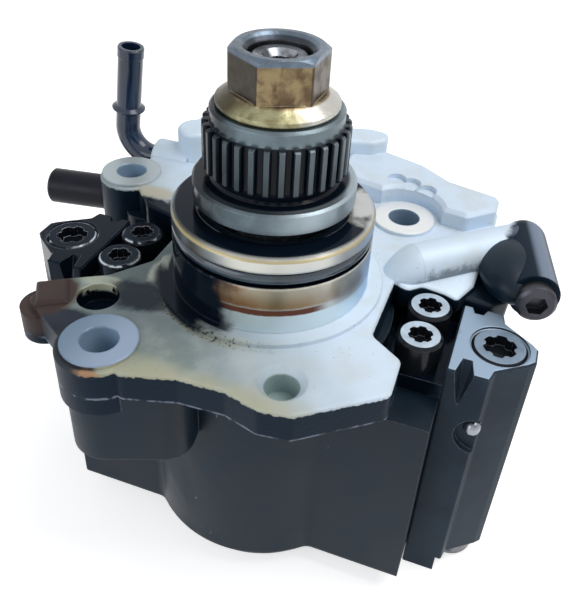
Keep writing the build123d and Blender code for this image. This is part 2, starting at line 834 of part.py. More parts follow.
def drive_hub():
    """Toothed hub with its collar, seated on the shaft taper."""
    band_r = band_d / 2
    collar_r = collar_d / 2
    hub = turned(
        [
            (taper_small_d / 2, collar_bottom_z),
            (collar_r - 0.6, collar_bottom_z),
            (collar_r, collar_bottom_z + 0.6),
            (collar_r, collar_top_z - 0.6),
            (collar_r - 0.6, collar_top_z),
            (neck_d / 2 + 0.6, collar_top_z),
            (neck_d / 2, collar_top_z + 0.6),
            (neck_d / 2, teeth_bottom_z + 1),
            (band_r, teeth_bottom_z + 1),
            (band_r, hub_top_z - 0.6),
            (band_r - 0.6, hub_top_z),
            (taper_small_d / 2, hub_top_z),
        ]
    )
    hub += tooth_band()
    gap = flat_gap
    hub -= turned(
        [
            (0, collar_bottom_z - 1),
            (taper_large_d / 2 + gap, collar_bottom_z - 1),
            (taper_large_d / 2 + gap, collar_bottom_z),
            (taper_small_d / 2 + gap, hub_top_z - 1),
            (taper_small_d / 2 + gap, hub_top_z + 1),
            (0, hub_top_z + 1),
        ]
    )
    return hub


def hub_nut():
    """Flanged hexagon nut on the shaft end."""
    hex_low = hub_top_z + nut_flange_height - 1
    nut = slab(Rot(0, 0, nut_phase) * hexagon(nut_across_flats), hex_low, nut_top_z)
    nut = fillet(nut.edges().filter_by(Axis.Z), nut_edge_r)
    corner_r = nut_across_flats / sqrt(3)
    crown = turned(
        [
            (0, hex_low - 1),
            (corner_r + 1, hex_low - 1),
            (corner_r + 1, nut_top_z - 1.6),
            (corner_r - 1.5, nut_top_z),
            (0, nut_top_z),
        ]
    )
    nut = nut & crown
    flange_r = nut_flange_d / 2
    nut += turned(
        [
            (0, hub_top_z),
            (flange_r - 0.5, hub_top_z),
            (flange_r, hub_top_z + 0.5),
            (flange_r, hub_top_z + 1.4),
            (corner_r - 0.6, hub_top_z + nut_flange_height + 0.6),
            (0, hub_top_z + nut_flange_height + 0.6),
        ]
    )
    bore_r = thread_d / 2 + flat_gap
    nut -= cylinder_z(bore_r, hub_top_z - 1, nut_top_z + 1)
    mouth = Cone(bore_r, bore_r + nut_bore_chamfer, nut_bore_chamfer)
    nut -= Pos(0, 0, nut_top_z - nut_bore_chamfer / 2) * mouth
    return nut


def rider_ring():
    """Ring on the eccentric with flats for the tappets; it never turns."""
    flats = hexagon(rider_across_flats)
    outline = flats & Circle(rider_corner_d / 2)
    bush_r = eccentric_d / 2 + rider_bush_wall
    low = plunger_axis_z - rider_height / 2
    high = plunger_axis_z + rider_height / 2
    rider = slab(Pos(eccentric_throw, 0) * outline, low, high)
    return rider - cylinder_z(bush_r, low - 1, high + 1, eccentric_throw)


def sleeve(inner_r, wall, low, high, x=0.0):
    """Plain bush about an upright axis."""
    return cylinder_z(inner_r + wall, low, high, x) - cylinder_z(inner_r, low - 1, high + 1, x)


def tappet():
    """Bucket that follows the rider and carries the plunger foot."""
    face_x = rider_across_flats / 2 + eccentric_throw + seat_gap
    bucket = cylinder_x(tappet_d / 2, face_x, face_x + tappet_length)
    bucket -= cylinder_x(tappet_d / 2 - 1.6, face_x + tappet_floor, face_x + tappet_length + 1)
    return bucket


def plunger():
    """Plunger with its foot inside the tappet."""
    foot_x = rider_across_flats / 2 + eccentric_throw + seat_gap + tappet_floor + flat_gap
    rod = cylinder_x(plunger_d / 2, foot_x, foot_x + plunger_length)
    return rod + cylinder_x(plunger_d / 2 + 1.6, foot_x, foot_x + 1.5)


def helical_wire(radius, wire, length, turns):
    """Round wire wound about Z from height zero to the length."""
    path = Helix(pitch=(length - wire) / turns, height=length - wire, radius=radius)
    section = Plane(origin=path @ 0, z_dir=path % 0) * Circle(wire / 2)
    return Pos(0, 0, wire / 2) * sweep(section, path=path)


def plunger_spring():
    """Return spring between the tappet floor and the head."""
    start_x = rider_across_flats / 2 + eccentric_throw + seat_gap + tappet_floor
    length = arm_reach - start_x - 2 * flat_gap
    mean_r = (plunger_spring_d - plunger_spring_wire) / 2
    coil = helical_wire(mean_r, plunger_spring_wire, length, plunger_spring_turns)
    return Pos(start_x + flat_gap, 0, plunger_axis_z) * Rot(0, 90, 0) * coil


def inlet_valve():
    """Mushroom valve that opens down into the pumping chamber."""
    seat_low = plunger_axis_z + chamber_half_height
    collar_low = seat_low + valve_seat_height + inlet_spring_length + 2 * flat_gap
    valve = cylinder_z(inlet_valve_d / 2, seat_low - 1.6, seat_low - flat_gap, valve_bore_x)
    valve += cylinder_z(inlet_stem_d / 2, seat_low - 1, collar_low + 1.6, valve_bore_x)
    valve += cylinder_z(inlet_collar_d / 2, collar_low, collar_low + 1, valve_bore_x)
    return valve


def inlet_seat():
    """Seat ring pressed in above the pumping chamber."""
    low = plunger_axis_z + chamber_half_height
    bore_r = valve_seat_bore_d / 2
    return sleeve(bore_r, valve_bore_d / 2 - bore_r - 0.02, low, low + valve_seat_height, valve_bore_x)


def outlet_seat():
    """Seat ring pressed in below the pumping chamber."""
    high = plunger_axis_z - chamber_half_height
    bore_r = outlet_seat_bore_d / 2
    return sleeve(bore_r, valve_bore_d / 2 - bore_r - 0.02, high - valve_seat_height, high, valve_bore_x)


def outlet_ball():
    """Ball of the outlet valve, just under its seat."""
    ball_r = outlet_ball_d / 2
    seat_low = plunger_axis_z - chamber_half_height - valve_seat_height
    drop = sqrt(ball_r**2 - (outlet_seat_bore_d / 2) ** 2)
    return Pos(valve_bore_x, 0, seat_low - drop - flat_gap) * Sphere(ball_r)


def inlet_spring():
    """Spring that pulls the inlet valve up onto its seat."""
    low = plunger_axis_z + chamber_half_height + valve_seat_height + flat_gap
    mean_r = (inlet_stem_d + valve_spring_wire) / 2 + 0.4
    coil = helical_wire(mean_r, valve_spring_wire, inlet_spring_length, 4)
    return Pos(valve_bore_x, 0, low) * coil


def outlet_spring():
    """Spring that presses the outlet ball up onto its seat."""
    ball_low = outlet_ball().bounding_box().min.Z
    low = plunger_axis_z - valve_bore_below + flat_gap
    mean_r = (lower_channel_d + valve_spring_wire) / 2
    coil = helical_wire(mean_r, valve_spring_wire, ball_low - low + 0.25, 4)
    return Pos(valve_bore_x, 0, low) * coil


def outlet_union():
    """High pressure outlet screwed into the hidden side of the head."""
    turned_union = turned(
        [
            (union_bore_d / 2, -7),
            (union_d / 2 - 1.6, -7),
            (union_d / 2 - 1.6, 0),
            (union_d / 2, 0),
            (union_d / 2, union_length - 1),
            (union_d / 2 - 1, union_length),
            (union_nose_d / 2, union_length),
            (union_bore_d / 2, union_length - 3),
        ]
    )
    flats = slab(hexagon(union_hex_across_flats), 0, union_hex_length)
    flats -= Cylinder(union_d / 2 - 1, 3 * union_length)
    turned_union += flats
    return Pos(union_x, union_seat_y, union_z) * Rot(-90, 0, 0) * turned_union


def return_pipe_hole():
    """Socket for the return pipe in the left wall of the plate."""
    hole_r = return_pipe_d / 2 + flat_gap
    inner_x = wall_left_x + pipe_socket
    return cylinder_x(hole_r, wall_left_x - 1, inner_x, return_pipe_y, return_pipe_z)


def return_pipe_place(rise):
    """Frame on the upright run of the return pipe, with Z along the pipe."""
    corner = Pos(return_pipe_out_x, return_pipe_y, return_pipe_z)
    return corner * Rot(0, return_pipe_lean, 0) * Pos(0, 0, rise)


def return_pipe():
    """Bent return pipe with its hose bead and a slight lip."""
    start = (wall_left_x + pipe_socket - flat_gap, return_pipe_y, return_pipe_z)
    corner = return_pipe_place(0).position
    end = return_pipe_place(return_pipe_rise).position
    path = FilletPolyline(start, corner, end, radius=return_bend_r)
    section = Plane(origin=start, z_dir=(-1, 0, 0)) * Circle(return_pipe_d / 2)
    pipe = sweep(section, path=path)
    bead_r = return_bead_d / 2
    tube_r = return_pipe_d / 2
    bead = turned(
        [
            (0, -return_bead_half),
            (tube_r, -return_bead_half),
            (bead_r, -0.2),
            (bead_r, 0.2),
            (tube_r, return_bead_half),
            (0, return_bead_half),
        ]
    )
    pipe += return_pipe_place(return_bead_rise) * bead
    lip_r = return_lip_d / 2
    lip = turned(
        [
            (0, -return_lip_length - 0.6),
            (tube_r, -return_lip_length - 0.6),
            (lip_r, -return_lip_length - 0.4),
            (lip_r, -0.4),
            (lip_r - 0.4, 0),
            (0, 0),
        ]
    )
    pipe += return_pipe_place(return_pipe_rise) * lip
    bore_length = 20.0
    bore = Cylinder(tube_r - 1, 2 * bore_length)
    return pipe - return_pipe_place(return_pipe_rise) * bore


def inlet_pipe_place():
    """Frame at the mouth of the inlet bore, with Z along the spigot."""
    mouth = Pos(wall_left_x + 2, inlet_pipe_y, inlet_pipe_z)
    return mouth * Rot(0, 0, inlet_pipe_angle) * Rot(0, 90, 0)


def inlet_pipe_hole():
    """Socket for the inlet spigot."""
    return inlet_pipe_place() * Cylinder(inlet_pipe_d / 2 + flat_gap, 2 * pipe_socket + 8)


def inlet_pipe():
    """Straight inlet spigot that widens to a land for the hose."""
    r = inlet_pipe_d / 2
    end_r = inlet_pipe_end_d / 2
    low = -pipe_socket - 3
    spigot = turned(
        [
            (inlet_pipe_bore_d / 2, low),
            (r, low),
            (r, inlet_flare_start),
            (end_r, inlet_flare_end),
            (end_r, inlet_pipe_length - 0.6),
            (end_r - 0.6, inlet_pipe_length),
            (inlet_pipe_bore_d / 2, inlet_pipe_length),
        ]
    )
    return inlet_pipe_place() * spigot


def metering_valve_body():
    """Inlet metering valve flanged to the hidden side of the housing."""
    at_flange = back_block_y
    oval = Circle(metering_flange_d / 2)
    for x in (-metering_screw_x, metering_screw_x):
        oval += Pos(x, 0) * Circle(metering_ear_d / 2)
    flange = extrude(make_hull(oval.edges()), amount=metering_flange_thickness)
    body = Pos(metering_x, at_flange, metering_z) * Rot(-90, 0, 0) * flange
    outer_y = at_flange + metering_length
    body += cylinder_y(metering_body_d / 2, at_flange, outer_y, metering_x, metering_z)
    stem_r = metering_bore_d / 2 + 2 - running_fit
    body += cylinder_y(stem_r, at_flange - 25, at_flange + 1, metering_x, metering_z)
    body -= cylinder_y(metering_bore_d / 2, at_flange - 26, at_flange + 8, metering_x, metering_z)
    hole_r = metering_screw_d / 2 + screw_clearance
    seat = at_flange + metering_flange_thickness
    for x in (-metering_screw_x, metering_screw_x):
        body -= cylinder_y(hole_r, at_flange - 1, seat + 1, metering_x + x, metering_z)
    return body


def metering_spool():
    """Spool that throttles the inlet flow."""
    start = back_block_y - spool_inset
    end = start + spool_length
    waist_start = start + spool_waist_start
    waist_end = waist_start + spool_waist_length
    spool = cylinder_y(spool_d / 2, start, waist_start, metering_x, metering_z)
    spool += cylinder_y(spool_d / 2 - 1.2, start, end, metering_x, metering_z)
    spool += cylinder_y(spool_d / 2, waist_end, end, metering_x, metering_z)
    return spool


def metering_spring():
    """Return spring behind the spool."""
    start = back_block_y - spool_inset + spool_length + flat_gap
    end = back_block_y + 8 - flat_gap
    coil = helical_wire(spool_d / 2 - 1.2, 0.9, end - start, 6)
    return Pos(metering_x, start, metering_z) * Rot(-90, 0, 0) * coil


def metering_connector():
    """Socket for the electric plug on the metering valve."""
    base_y = back_block_y + metering_length
    shell = RectangleRounded(connector_width, connector_height, 2.5)
    inner_width = connector_width - 2 * connector_wall
    inner_height = connector_height - 2 * connector_wall
    core = RectangleRounded(inner_width, inner_height, 1.5)
    socket = extrude(shell, amount=connector_length)
    socket -= Pos(0, 0, 5) * extrude(core, amount=connector_length)
    for x in (-2.5, 2.5):
        socket += Pos(x, 0, 4) * extrude(Rectangle(1.2, 0.8), amount=8)
    return Pos(metering_x, base_y, metering_z) * Rot(-90, 0, 0) * socket


def metering_screws():
    """Two screws through the flange of the metering valve."""
    screws = []
    for x in (-metering_screw_x, metering_screw_x):
        seat = back_block_y + metering_flange_thickness
        head_y = seat + metering_screw_head_height
        screw = cylinder_y(metering_screw_d * 0.85, seat, head_y, metering_x + x, metering_z)
        tip_y = back_block_y - metering_screw_grip
        screw += cylinder_y(metering_screw_d / 2, tip_y, seat, metering_x + x, metering_z)
        screws.append(screw)
    return Compound(children=screws)


def shaft_seal():
    """Lip seal in the mouth of the spigot."""
    outer_r = seal_seat_d / 2 - 0.02
    lip_r = shaft_journal_d / 2 + flat_gap
    low = seal_top_z - seal_height + flat_gap
    return turned(
        [
            (outer_r, low),
            (outer_r, seal_top_z),
            (outer_r - 3.4, seal_top_z),
            (lip_r + 0.6, seal_top_z - 2.4),
            (lip_r, seal_top_z - 3.2),
            (lip_r + 0.6, seal_top_z - 4.0),
            (lip_r + 0.6, low),
        ]
    )


def main():
    """Make every piece and write one file for each."""
    os.makedirs("parts", exist_ok=True)
    pieces["front_flange"] = front_flange()
    pieces["cam_housing"] = cam_housing()
    pieces["rear_cover"] = rear_cover()
    pieces["cover_screws"] = cover_screws()
    pieces["housing_screws"] = housing_screws()
    groove_r = spigot_d / 2 + o_ring_proud - o_ring_section / 2
    pieces["flange_o_ring"] = ring(groove_r, o_ring_section, o_ring_centre_z)
    pieces["shaft_seal"] = shaft_seal()
    journal_r = shaft_journal_d / 2 + running_fit
    bush_top = front_bush_bottom_z + front_bush_length
    wall = bush_wall - running_fit - 0.01
    pieces["front_bush"] = sleeve(journal_r, wall, front_bush_bottom_z, bush_top)
    rear_r = rear_journal_d / 2 + running_fit
    rear_low = body_bottom_z - cover_thickness + 2
    rear_high = body_bottom_z + cover_spigot_height
    pieces["rear_bush"] = sleeve(rear_r, wall, rear_low, rear_high)
    both_sides("head", hydraulic_head())
    both_sides("head_screws", head_screw_set())
    both_sides("top_plug", valve_plug(head_top_z, 1, plug_height))
    both_sides("bottom_plug", valve_plug(lower_plug_end_z, -1, lower_plug_height))
    both_sides("sealing_ball", sealing_ball(0.0))
    both_sides("outlet_union", outlet_union())
    both_sides("inlet_seat", inlet_seat())
    both_sides("outlet_seat", outlet_seat())
    both_sides("inlet_valve", inlet_valve())
    both_sides("outlet_ball", outlet_ball())
    both_sides("inlet_spring", inlet_spring())
    both_sides("outlet_spring", outlet_spring())
    both_sides("tappet", tappet())
    both_sides("plunger", plunger())
    both_sides("plunger_spring", plunger_spring())
    pieces["drive_shaft"] = drive_shaft()
    pieces["drive_hub"] = drive_hub()
    pieces["hub_nut"] = hub_nut()
    pieces["rider_ring"] = rider_ring()
    rider_bush_r = eccentric_d / 2 + running_fit
    rider_low = plunger_axis_z - rider_height / 2
    rider_high = plunger_axis_z + rider_height / 2
    pieces["rider_bush"] = sleeve(
        rider_bush_r, rider_bush_wall - running_fit - 0.01, rider_low, rider_high, eccentric_throw
    )
    pieces["return_pipe"] = return_pipe()
    pieces["inlet_pipe"] = inlet_pipe()
    pieces["gallery_plug"] = gallery_plug()
    pieces["metering_valve_body"] = metering_valve_body()
    pieces["metering_connector"] = metering_connector()
    pieces["metering_screws"] = metering_screws()
    pieces["metering_spool"] = metering_spool()
    pieces["metering_spring"] = metering_spring()
    for name, solid in pieces.items():
        export_step(solid, f"parts/{name}.step")


if __name__ == "__main__":
    main()
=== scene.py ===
"""Finishes, cast webs, springs, floor, lamps and camera for a diesel injection pump.

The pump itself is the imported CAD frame.  Most operators dress one group of its pieces.  Two of
them also add pieces: the webs under the fuel gallery and the wound springs.  The last one sets
up the floor, the lamps and the camera.  Lengths are in metres, in the frame's own axes, unless
a comment says mm.
"""
import json
import math

import bmesh
import bpy
from bpy.props import FloatProperty, FloatVectorProperty, PointerProperty
from bpy.types import Operator, Panel, PropertyGroup
from mathutils import Matrix, Vector


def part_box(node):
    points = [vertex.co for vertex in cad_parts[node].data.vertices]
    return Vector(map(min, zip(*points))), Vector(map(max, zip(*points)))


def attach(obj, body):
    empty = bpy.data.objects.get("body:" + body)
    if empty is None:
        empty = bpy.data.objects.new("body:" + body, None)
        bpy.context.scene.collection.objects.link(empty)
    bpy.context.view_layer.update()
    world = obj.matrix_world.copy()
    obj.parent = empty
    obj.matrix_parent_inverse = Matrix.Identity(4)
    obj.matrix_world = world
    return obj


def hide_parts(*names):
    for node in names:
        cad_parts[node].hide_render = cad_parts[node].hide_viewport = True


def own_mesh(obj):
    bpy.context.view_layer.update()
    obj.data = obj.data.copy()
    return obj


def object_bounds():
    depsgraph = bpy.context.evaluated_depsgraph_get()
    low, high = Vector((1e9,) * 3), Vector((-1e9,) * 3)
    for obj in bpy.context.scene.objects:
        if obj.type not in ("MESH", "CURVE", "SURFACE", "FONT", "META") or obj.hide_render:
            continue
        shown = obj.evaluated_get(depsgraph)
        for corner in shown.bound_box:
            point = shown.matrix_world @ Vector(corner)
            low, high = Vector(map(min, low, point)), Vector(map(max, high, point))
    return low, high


bl_info = {
    "name": "Diesel injection pump finishes",
    "version": (1, 0, 0),
    "blender": (4, 5, 0),
    "location": "3D View > Sidebar > Pump",
    "description": "Worn and oily finishes for a diesel injection pump",
    "category": "Object",
}

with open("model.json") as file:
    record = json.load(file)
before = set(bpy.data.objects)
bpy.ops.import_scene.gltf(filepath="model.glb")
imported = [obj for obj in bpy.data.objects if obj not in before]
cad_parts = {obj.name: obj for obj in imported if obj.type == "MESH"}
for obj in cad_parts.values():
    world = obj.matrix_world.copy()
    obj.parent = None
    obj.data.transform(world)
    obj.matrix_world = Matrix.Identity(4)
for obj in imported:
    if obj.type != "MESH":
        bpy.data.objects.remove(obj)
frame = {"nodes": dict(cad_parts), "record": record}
cad_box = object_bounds()
mounts = {mount["name"]: mount for mount in frame["record"]["mounts"]}

MM = 0.001
spigot_r = mounts["pilot_spigot"]["dims"]["r_mm"] * MM
hole_circle_r = mounts["mounting_holes"]["dims"]["pcd_mm"] / 2 * MM
hole_angle = math.radians(57)
far_boss = (hole_circle_r * math.cos(hole_angle), hole_circle_r * math.sin(hole_angle), 0)
near_boss = (-far_boss[0], -far_boss[1], 0)
ear_boss = tuple(mounts["ear_hole"]["pos_m"][:2]) + (0,)
dowel_hole = tuple(mounts["dowel_hole"]["pos_m"][:2]) + (0,)
sunk_hole = (-0.0354, -0.0260, 0)
boss_r, hole_r, dowel_r, sunk_r = 0.009, 0.0046, 0.0041, 0.0054
# Radii about the shaft axis: the spigot's crown, groove and foot, and the corner round the foot
crown_r, groove_r, foot_r, corner_r = 0.0236, 0.0246, 0.0262, 0.0288

# Heights between which a finish of the flange and its spigot begins or ends
PAD_FOOT = (-0.0105, -0.0065)
LOWER_EDGE = (-0.0092, -0.0084)
RECESS_FLOOR = (-0.0036, -0.0026)
PAINT_LINE = (-0.0021, -0.0017)
RECESS_MOUTH = (-0.0019, -0.0015)
TOP_FACE = (-0.0004, -0.0002)
SPIGOT_FOOT = (0.0002, 0.0004)
CLEAN_FOOT = (0.0048, 0.0054)
VARNISH_RIM = (0.0050, 0.0070)
VARNISH = (0.0064, 0.0134)
VARNISH_FADE = (0.0068, 0.0125)
SOAKED_SIDE = (-0.0040, 0.0150)
FOOT_POOL = (0.0120, 0.0160)
RING_GROOVE = (0.0126, 0.0174)
CROWN = (0.0195, 0.0199)
CROWN_CHAMFER = (0.0197, 0.0206)
# The same on the heads, the hub and the nut
HEAD_TOP = (-0.0075, -0.0062)
HUB_UNDERSIDE = (0.0236, 0.0240)
NECK_FOOT = (0.0280, 0.0284)
GRIME_FOOT = (0.0290, 0.0300)
COLLAR_TOP = (0.0292, 0.0296)
TEETH = (0.0302, 0.0430)
NECK_TOP = (0.0318, 0.0325)
GRIME_FADE = (0.0300, 0.0425)
GRIME_TOP = (0.0425, 0.0429)
NUT_COLLAR = (0.0496, 0.0500)
NUT_TOP = (0.0582, 0.0588)
# Heights from which the tops of the plugs and of the screws are rubbed
PLUG_FACE, SCREW_FACE = -0.0058, -0.0042

# Shades of age, dirt and wear, and of painted light and shade
SHADE = {
    "fuel mist": (0.62, 0.66, 0.64),
    "corner film": (0.40, 0.41, 0.30),
    "crumbs": (0.030, 0.034, 0.028),
    "specks": (0.12, 0.12, 0.10),
    "chipped edge": (0.24, 0.27, 0.36),
    "painted branch highlight": (0.24, 0.30, 0.40),
    "pad blotch": (0.045, 0.032, 0.030),
    "pad foot": (0.022, 0.018, 0.026),
    "ear boss": (0.46, 0.52, 0.54),
    "painted shade on boss": (0.150, 0.225, 0.300),
    "dowel wall": (0.36, 0.46, 0.46),
    "clean foot": (0.70, 0.78, 0.79),
    "shaded spigot": (0.075, 0.080, 0.050),
    "pale varnish": (0.46, 0.40, 0.30),
    "burnt varnish": (0.30, 0.105, 0.025),
    "gold chamfer": (0.42, 0.34, 0.16),
    "lit recess wall": (0.55, 0.58, 0.44),
    "rubbed paint": (0.32, 0.33, 0.36),
    "rubbed head": (0.34, 0.36, 0.42),
    "head edge wear and highlight": (0.34, 0.38, 0.46),
    "head glint": (0.50, 0.58, 0.66),
    "screw edge": (0.30, 0.33, 0.38),
    "screw edge wear and highlight": (0.52, 0.57, 0.64),
    "screw glint": (0.60, 0.66, 0.72),
    "tooth tips": (0.45, 0.47, 0.47),
    "hub grime": (0.022, 0.030, 0.036),
    "lit collar": (0.42, 0.50, 0.55),
    "dark gold": (0.115, 0.078, 0.044),
    "nut right": (0.040, 0.027, 0.016),
    "olive": (0.36, 0.35, 0.21),
    "olive blotch": (0.19, 0.17, 0.085),
    "olive shadow": (0.055, 0.048, 0.022),
    "painted nut flange highlight": (0.62, 0.62, 0.60),
    "nut edge": (0.50, 0.46, 0.38),
    "nut bore": (0.03, 0.035, 0.045),
    "steel dirt": (0.012, 0.014, 0.018),
    "floor": (0.86, 0.86, 0.86),
}
# Stains on the plate: centre, reach, raggedness, scale, softness, strength and colour
STAINS = (
    ((-0.0265, -0.0285, 0), (0.0140, 0.0065, 0.02), 1.0, 200.0, 0.4, 0.60, (0.16, 0.20, 0.22)),
    ((-0.0330, -0.0100, 0), (0.0140, 0.0160, 0.02), 0.9, 230.0, 0.5, 0.85, (0.13, 0.165, 0.165)),
    ((-0.0268, -0.0098, 0), (0.0024, 0.0050, 0.02), 0.9, 230.0, 0.3, 0.80, (0.60, 0.64, 0.55)),
    ((-0.0465, 0.0240, 0), (0.0065, 0.0034, 0.02), 0.8, 230.0, 0.4, 0.70, (0.50, 0.45, 0.31)),
    ((-0.0370, -0.0205, 0), (0.0060, 0.0030, 0.02), 0.9, 230.0, 0.3, 0.70, (0.52, 0.56, 0.45)),
    ((-0.0415, -0.0300, -0.002), (0.0016, 0.0055, 0.006), 1.0, 230.0, 0.3, 0.80, (0.50, 0.52, 0.38)),
    ((-0.0375, -0.0365, 0), (0.0085, 0.0044, 0.02), 0.6, 230.0, 0.25, 0.95, (0.018, 0.022, 0.036)),
    ((-0.0350, -0.0490, 0), (0.0120, 0.0105, 0.02), 0.4, 230.0, 0.10, 0.95, (0.024, 0.027, 0.034)),
    ((-0.0215, -0.0502, -0.001), (0.0050, 0.0011, 0.004), 0.9, 230.0, 0.3, 0.85, (0.46, 0.27, 0.15)),
)

# Cast webs in mm: plan outline, bottom, top, share of the outline at the bottom, how far the
# top falls per mm along X and Y, and finish
WEBS = {
    "gallery_shelf": (
        [
            (31.5, 9.0), (34.8, 8.4), (38.0, 11.8), (44.0, 12.0), (47.6, 11.4), (50.8, 18.5),
            (51.6, 33), (44, 29), (32.5, 18),
        ],
        -8.6, 2.5, 0.97, (0.17, -0.19), "Flange casting",
    ),
    "gallery_skirt": (
        [(43.0, 15.4), (56.5, 14.6), (60.5, 19), (61, 30), (56, 38), (49, 30)],
        -26.0, -4.6, 0.82, (0.0, 0.0), "Housing paint",
    ),
}
# Swellings in mm: middle, place they point to, radius, half length, half breadth, and finish
SWELLINGS = {
    "gallery_root": ((34.0, 17.0), (60.5, 41.0), 5.98, 9.0, None, "Flange casting"),
    "gallery_elbow": ((59.2, 26.0), (64.7, 1.5), 6.3, 13.0, 8.8, "Housing paint"),
}
WEB_ROUNDING, WEB_SEGMENTS = 1.2 * MM, 4
# How far the back of a swelling without a breadth sinks, per mm of its length
ROOT_SINK = 0.42

# Wire thickness and number of turns of each kind of return spring
SPRING_WIRE = {
    "plunger_spring": (0.0018, 4),
    "inlet_spring": (0.0007, 4),
    "outlet_spring": (0.0007, 4),
    "metering_spring": (0.0009, 6),
}
STEPS_PER_TURN, WIRE_FACETS = 40, 16
# Turns that lay a coil wound about Z along another axis
TURN_TO = {
    "x": Matrix.Rotation(math.radians(90), 4, "Y"),
    "y": Matrix.Rotation(math.radians(-90), 4, "X"),
    "z": Matrix.Identity(4),
}

# Soft lamps: name, place, width and depth, and colour
LAMPS = (
    ("Key lamp", (0.30, 0.10, 0.62), (0.45, 0.45), (1.0, 0.99, 0.97)),
    ("Fill lamp", (-0.35, -0.55, 0.25), (0.5, 0.4), (0.86, 0.92, 1.0)),
)
SENSOR_WIDTH_MM = 36.0
CLIP = (0.01, 20.0)


def swatch(name, description, red, green, blue):
    """Colour for the sidebar."""
    return FloatVectorProperty(
        name=name, description=description, subtype="COLOR", size=3, min=0, max=1,
        default=(red, green, blue),
    )


class PumpColours(PropertyGroup):
    """Colours of the metals, paint, oil and stains."""

    casting: swatch("Casting", "Clean cast aluminium", 0.71, 0.83, 0.96)
    # Casting colour at the front left: painted shade as well as a film of old fuel
    casting_shade_and_film: swatch("Shaded and filmed casting", "Casting in painted shade, filmed with old fuel", 0.215, 0.265, 0.250)
    casting_cream: swatch("Cream casting", "Dried fuel on the casting", 0.50, 0.49, 0.34)
    bore_wall: swatch("Bore wall", "Walls of the drilled holes", 0.30, 0.42, 0.55)
    boss_near: swatch("Near boss", "Faced boss at the front", 0.32, 0.40, 0.53)
    boss_far: swatch("Far boss", "Faced boss at the back", 0.90, 0.92, 0.92)
    paint: swatch("Housing paint", "Black paint of the housing", 0.0045, 0.0125, 0.0230)
    block: swatch("Head paint", "Black oxide on the heads", 0.020, 0.030, 0.042)
    faced_block: swatch("Faced head", "Machined top of a head", 0.35, 0.46, 0.59)
    oil: swatch("Oil", "Old black oil", 0.003, 0.007, 0.014)
    bright_steel: swatch("Bright steel", "Ground steel", 0.60, 0.60, 0.56)
    hub_steel: swatch("Hub steel", "Dark satin steel", 0.150, 0.195, 0.220)
    nut_top: swatch("Nut top", "Bare top of the nut", 0.155, 0.205, 0.265)
    nut_gold: swatch("Nut gold", "Old yellow passivation", 0.265, 0.200, 0.105)
    # Painted shade on the nut's left faces
    nut_left_shade: swatch("Nut shaded side", "Painted shade on the left faces of the nut", 0.030, 0.026, 0.020)
    varnish: swatch("Varnish", "Baked fuel on the spigot", 0.33, 0.20, 0.095)
    varnish_edge: swatch("Varnish edge", "Red rim of the varnish", 0.15, 0.055, 0.032)
    brown_pad: swatch("Brown pad", "Rusty pad on the flange", 0.085, 0.058, 0.048)
    pipe: swatch("Pipe", "Gloss paint of the return pipe", 0.006, 0.017, 0.042)
    moulding: swatch("Moulding", "Black moulded plastic", 0.003, 0.004, 0.009)
    rubber: swatch("Rubber", "Oily seal rubber", 0.018, 0.034, 0.052)
    bronze: swatch("Bronze", "Bearing bronze", 0.42, 0.27, 0.12)
    zinc: swatch("Zinc", "Zinc plating", 0.50, 0.51, 0.52)
    black_oxide: swatch("Black oxide", "Sides of screws and plugs", 0.012, 0.015, 0.020)
    plug_top: swatch("Plug top", "Rubbed top of the dry plug", 0.27, 0.36, 0.47)
    screw_top: swatch("Screw top", "Rubbed tops of the dry screws", 0.58, 0.70, 0.82)
    lower_plug: swatch("Lower plug", "Plugs under the heads", 0.22, 0.22, 0.24)
    sealing_ball: swatch("Sealing ball", "Balls pressed into the heads", 0.34, 0.37, 0.42)
    shaft: swatch("Shaft", "Steel of the drive shaft", 0.34, 0.36, 0.40)
    gallery_plug: swatch("Gallery plug", "Plug in the gallery's branch", 0.070, 0.072, 0.085)
    spring_wire: swatch("Spring wire", "Wire of the return springs", 0.36, 0.36, 0.38)


class PumpSurface(PropertyGroup):
    """How rough, worn and grainy the surfaces are."""

    grain_depth: FloatProperty(
        name="Casting grain", description="Depth of the cast skin", default=0.12 * MM,
        min=0, subtype="DISTANCE", unit="LENGTH",
    )
    edge_radius: FloatProperty(
        name="Edge radius", description="Softness of cast edges", default=0.5 * MM,
        min=0, subtype="DISTANCE", unit="LENGTH",
    )
    paint_roughness: FloatProperty(
        name="Paint roughness", description="Satin of the black paint", default=0.42,
        min=0, max=1, subtype="FACTOR",
    )
    paint_sheen: FloatProperty(
        name="Paint sheen", description="Mirror strength of the black paint", default=0.20,
        min=0, max=1, subtype="FACTOR",
    )
    oil_sheen: FloatProperty(
        name="Oil sheen", description="Mirror strength of the oil", default=0.14,
        min=0, max=1, subtype="FACTOR",
    )
    sheen_tint: FloatVectorProperty(
        name="Sheen tint", description="Colour of the sky that wet and painted black mirrors",
        subtype="COLOR", default=(0.42, 0.60, 0.92), min=0, max=1,
    )
    oil_roughness: FloatProperty(
        name="Oil roughness", description="Gloss of wet oil", default=0.10,
        min=0, max=1, subtype="FACTOR",
    )


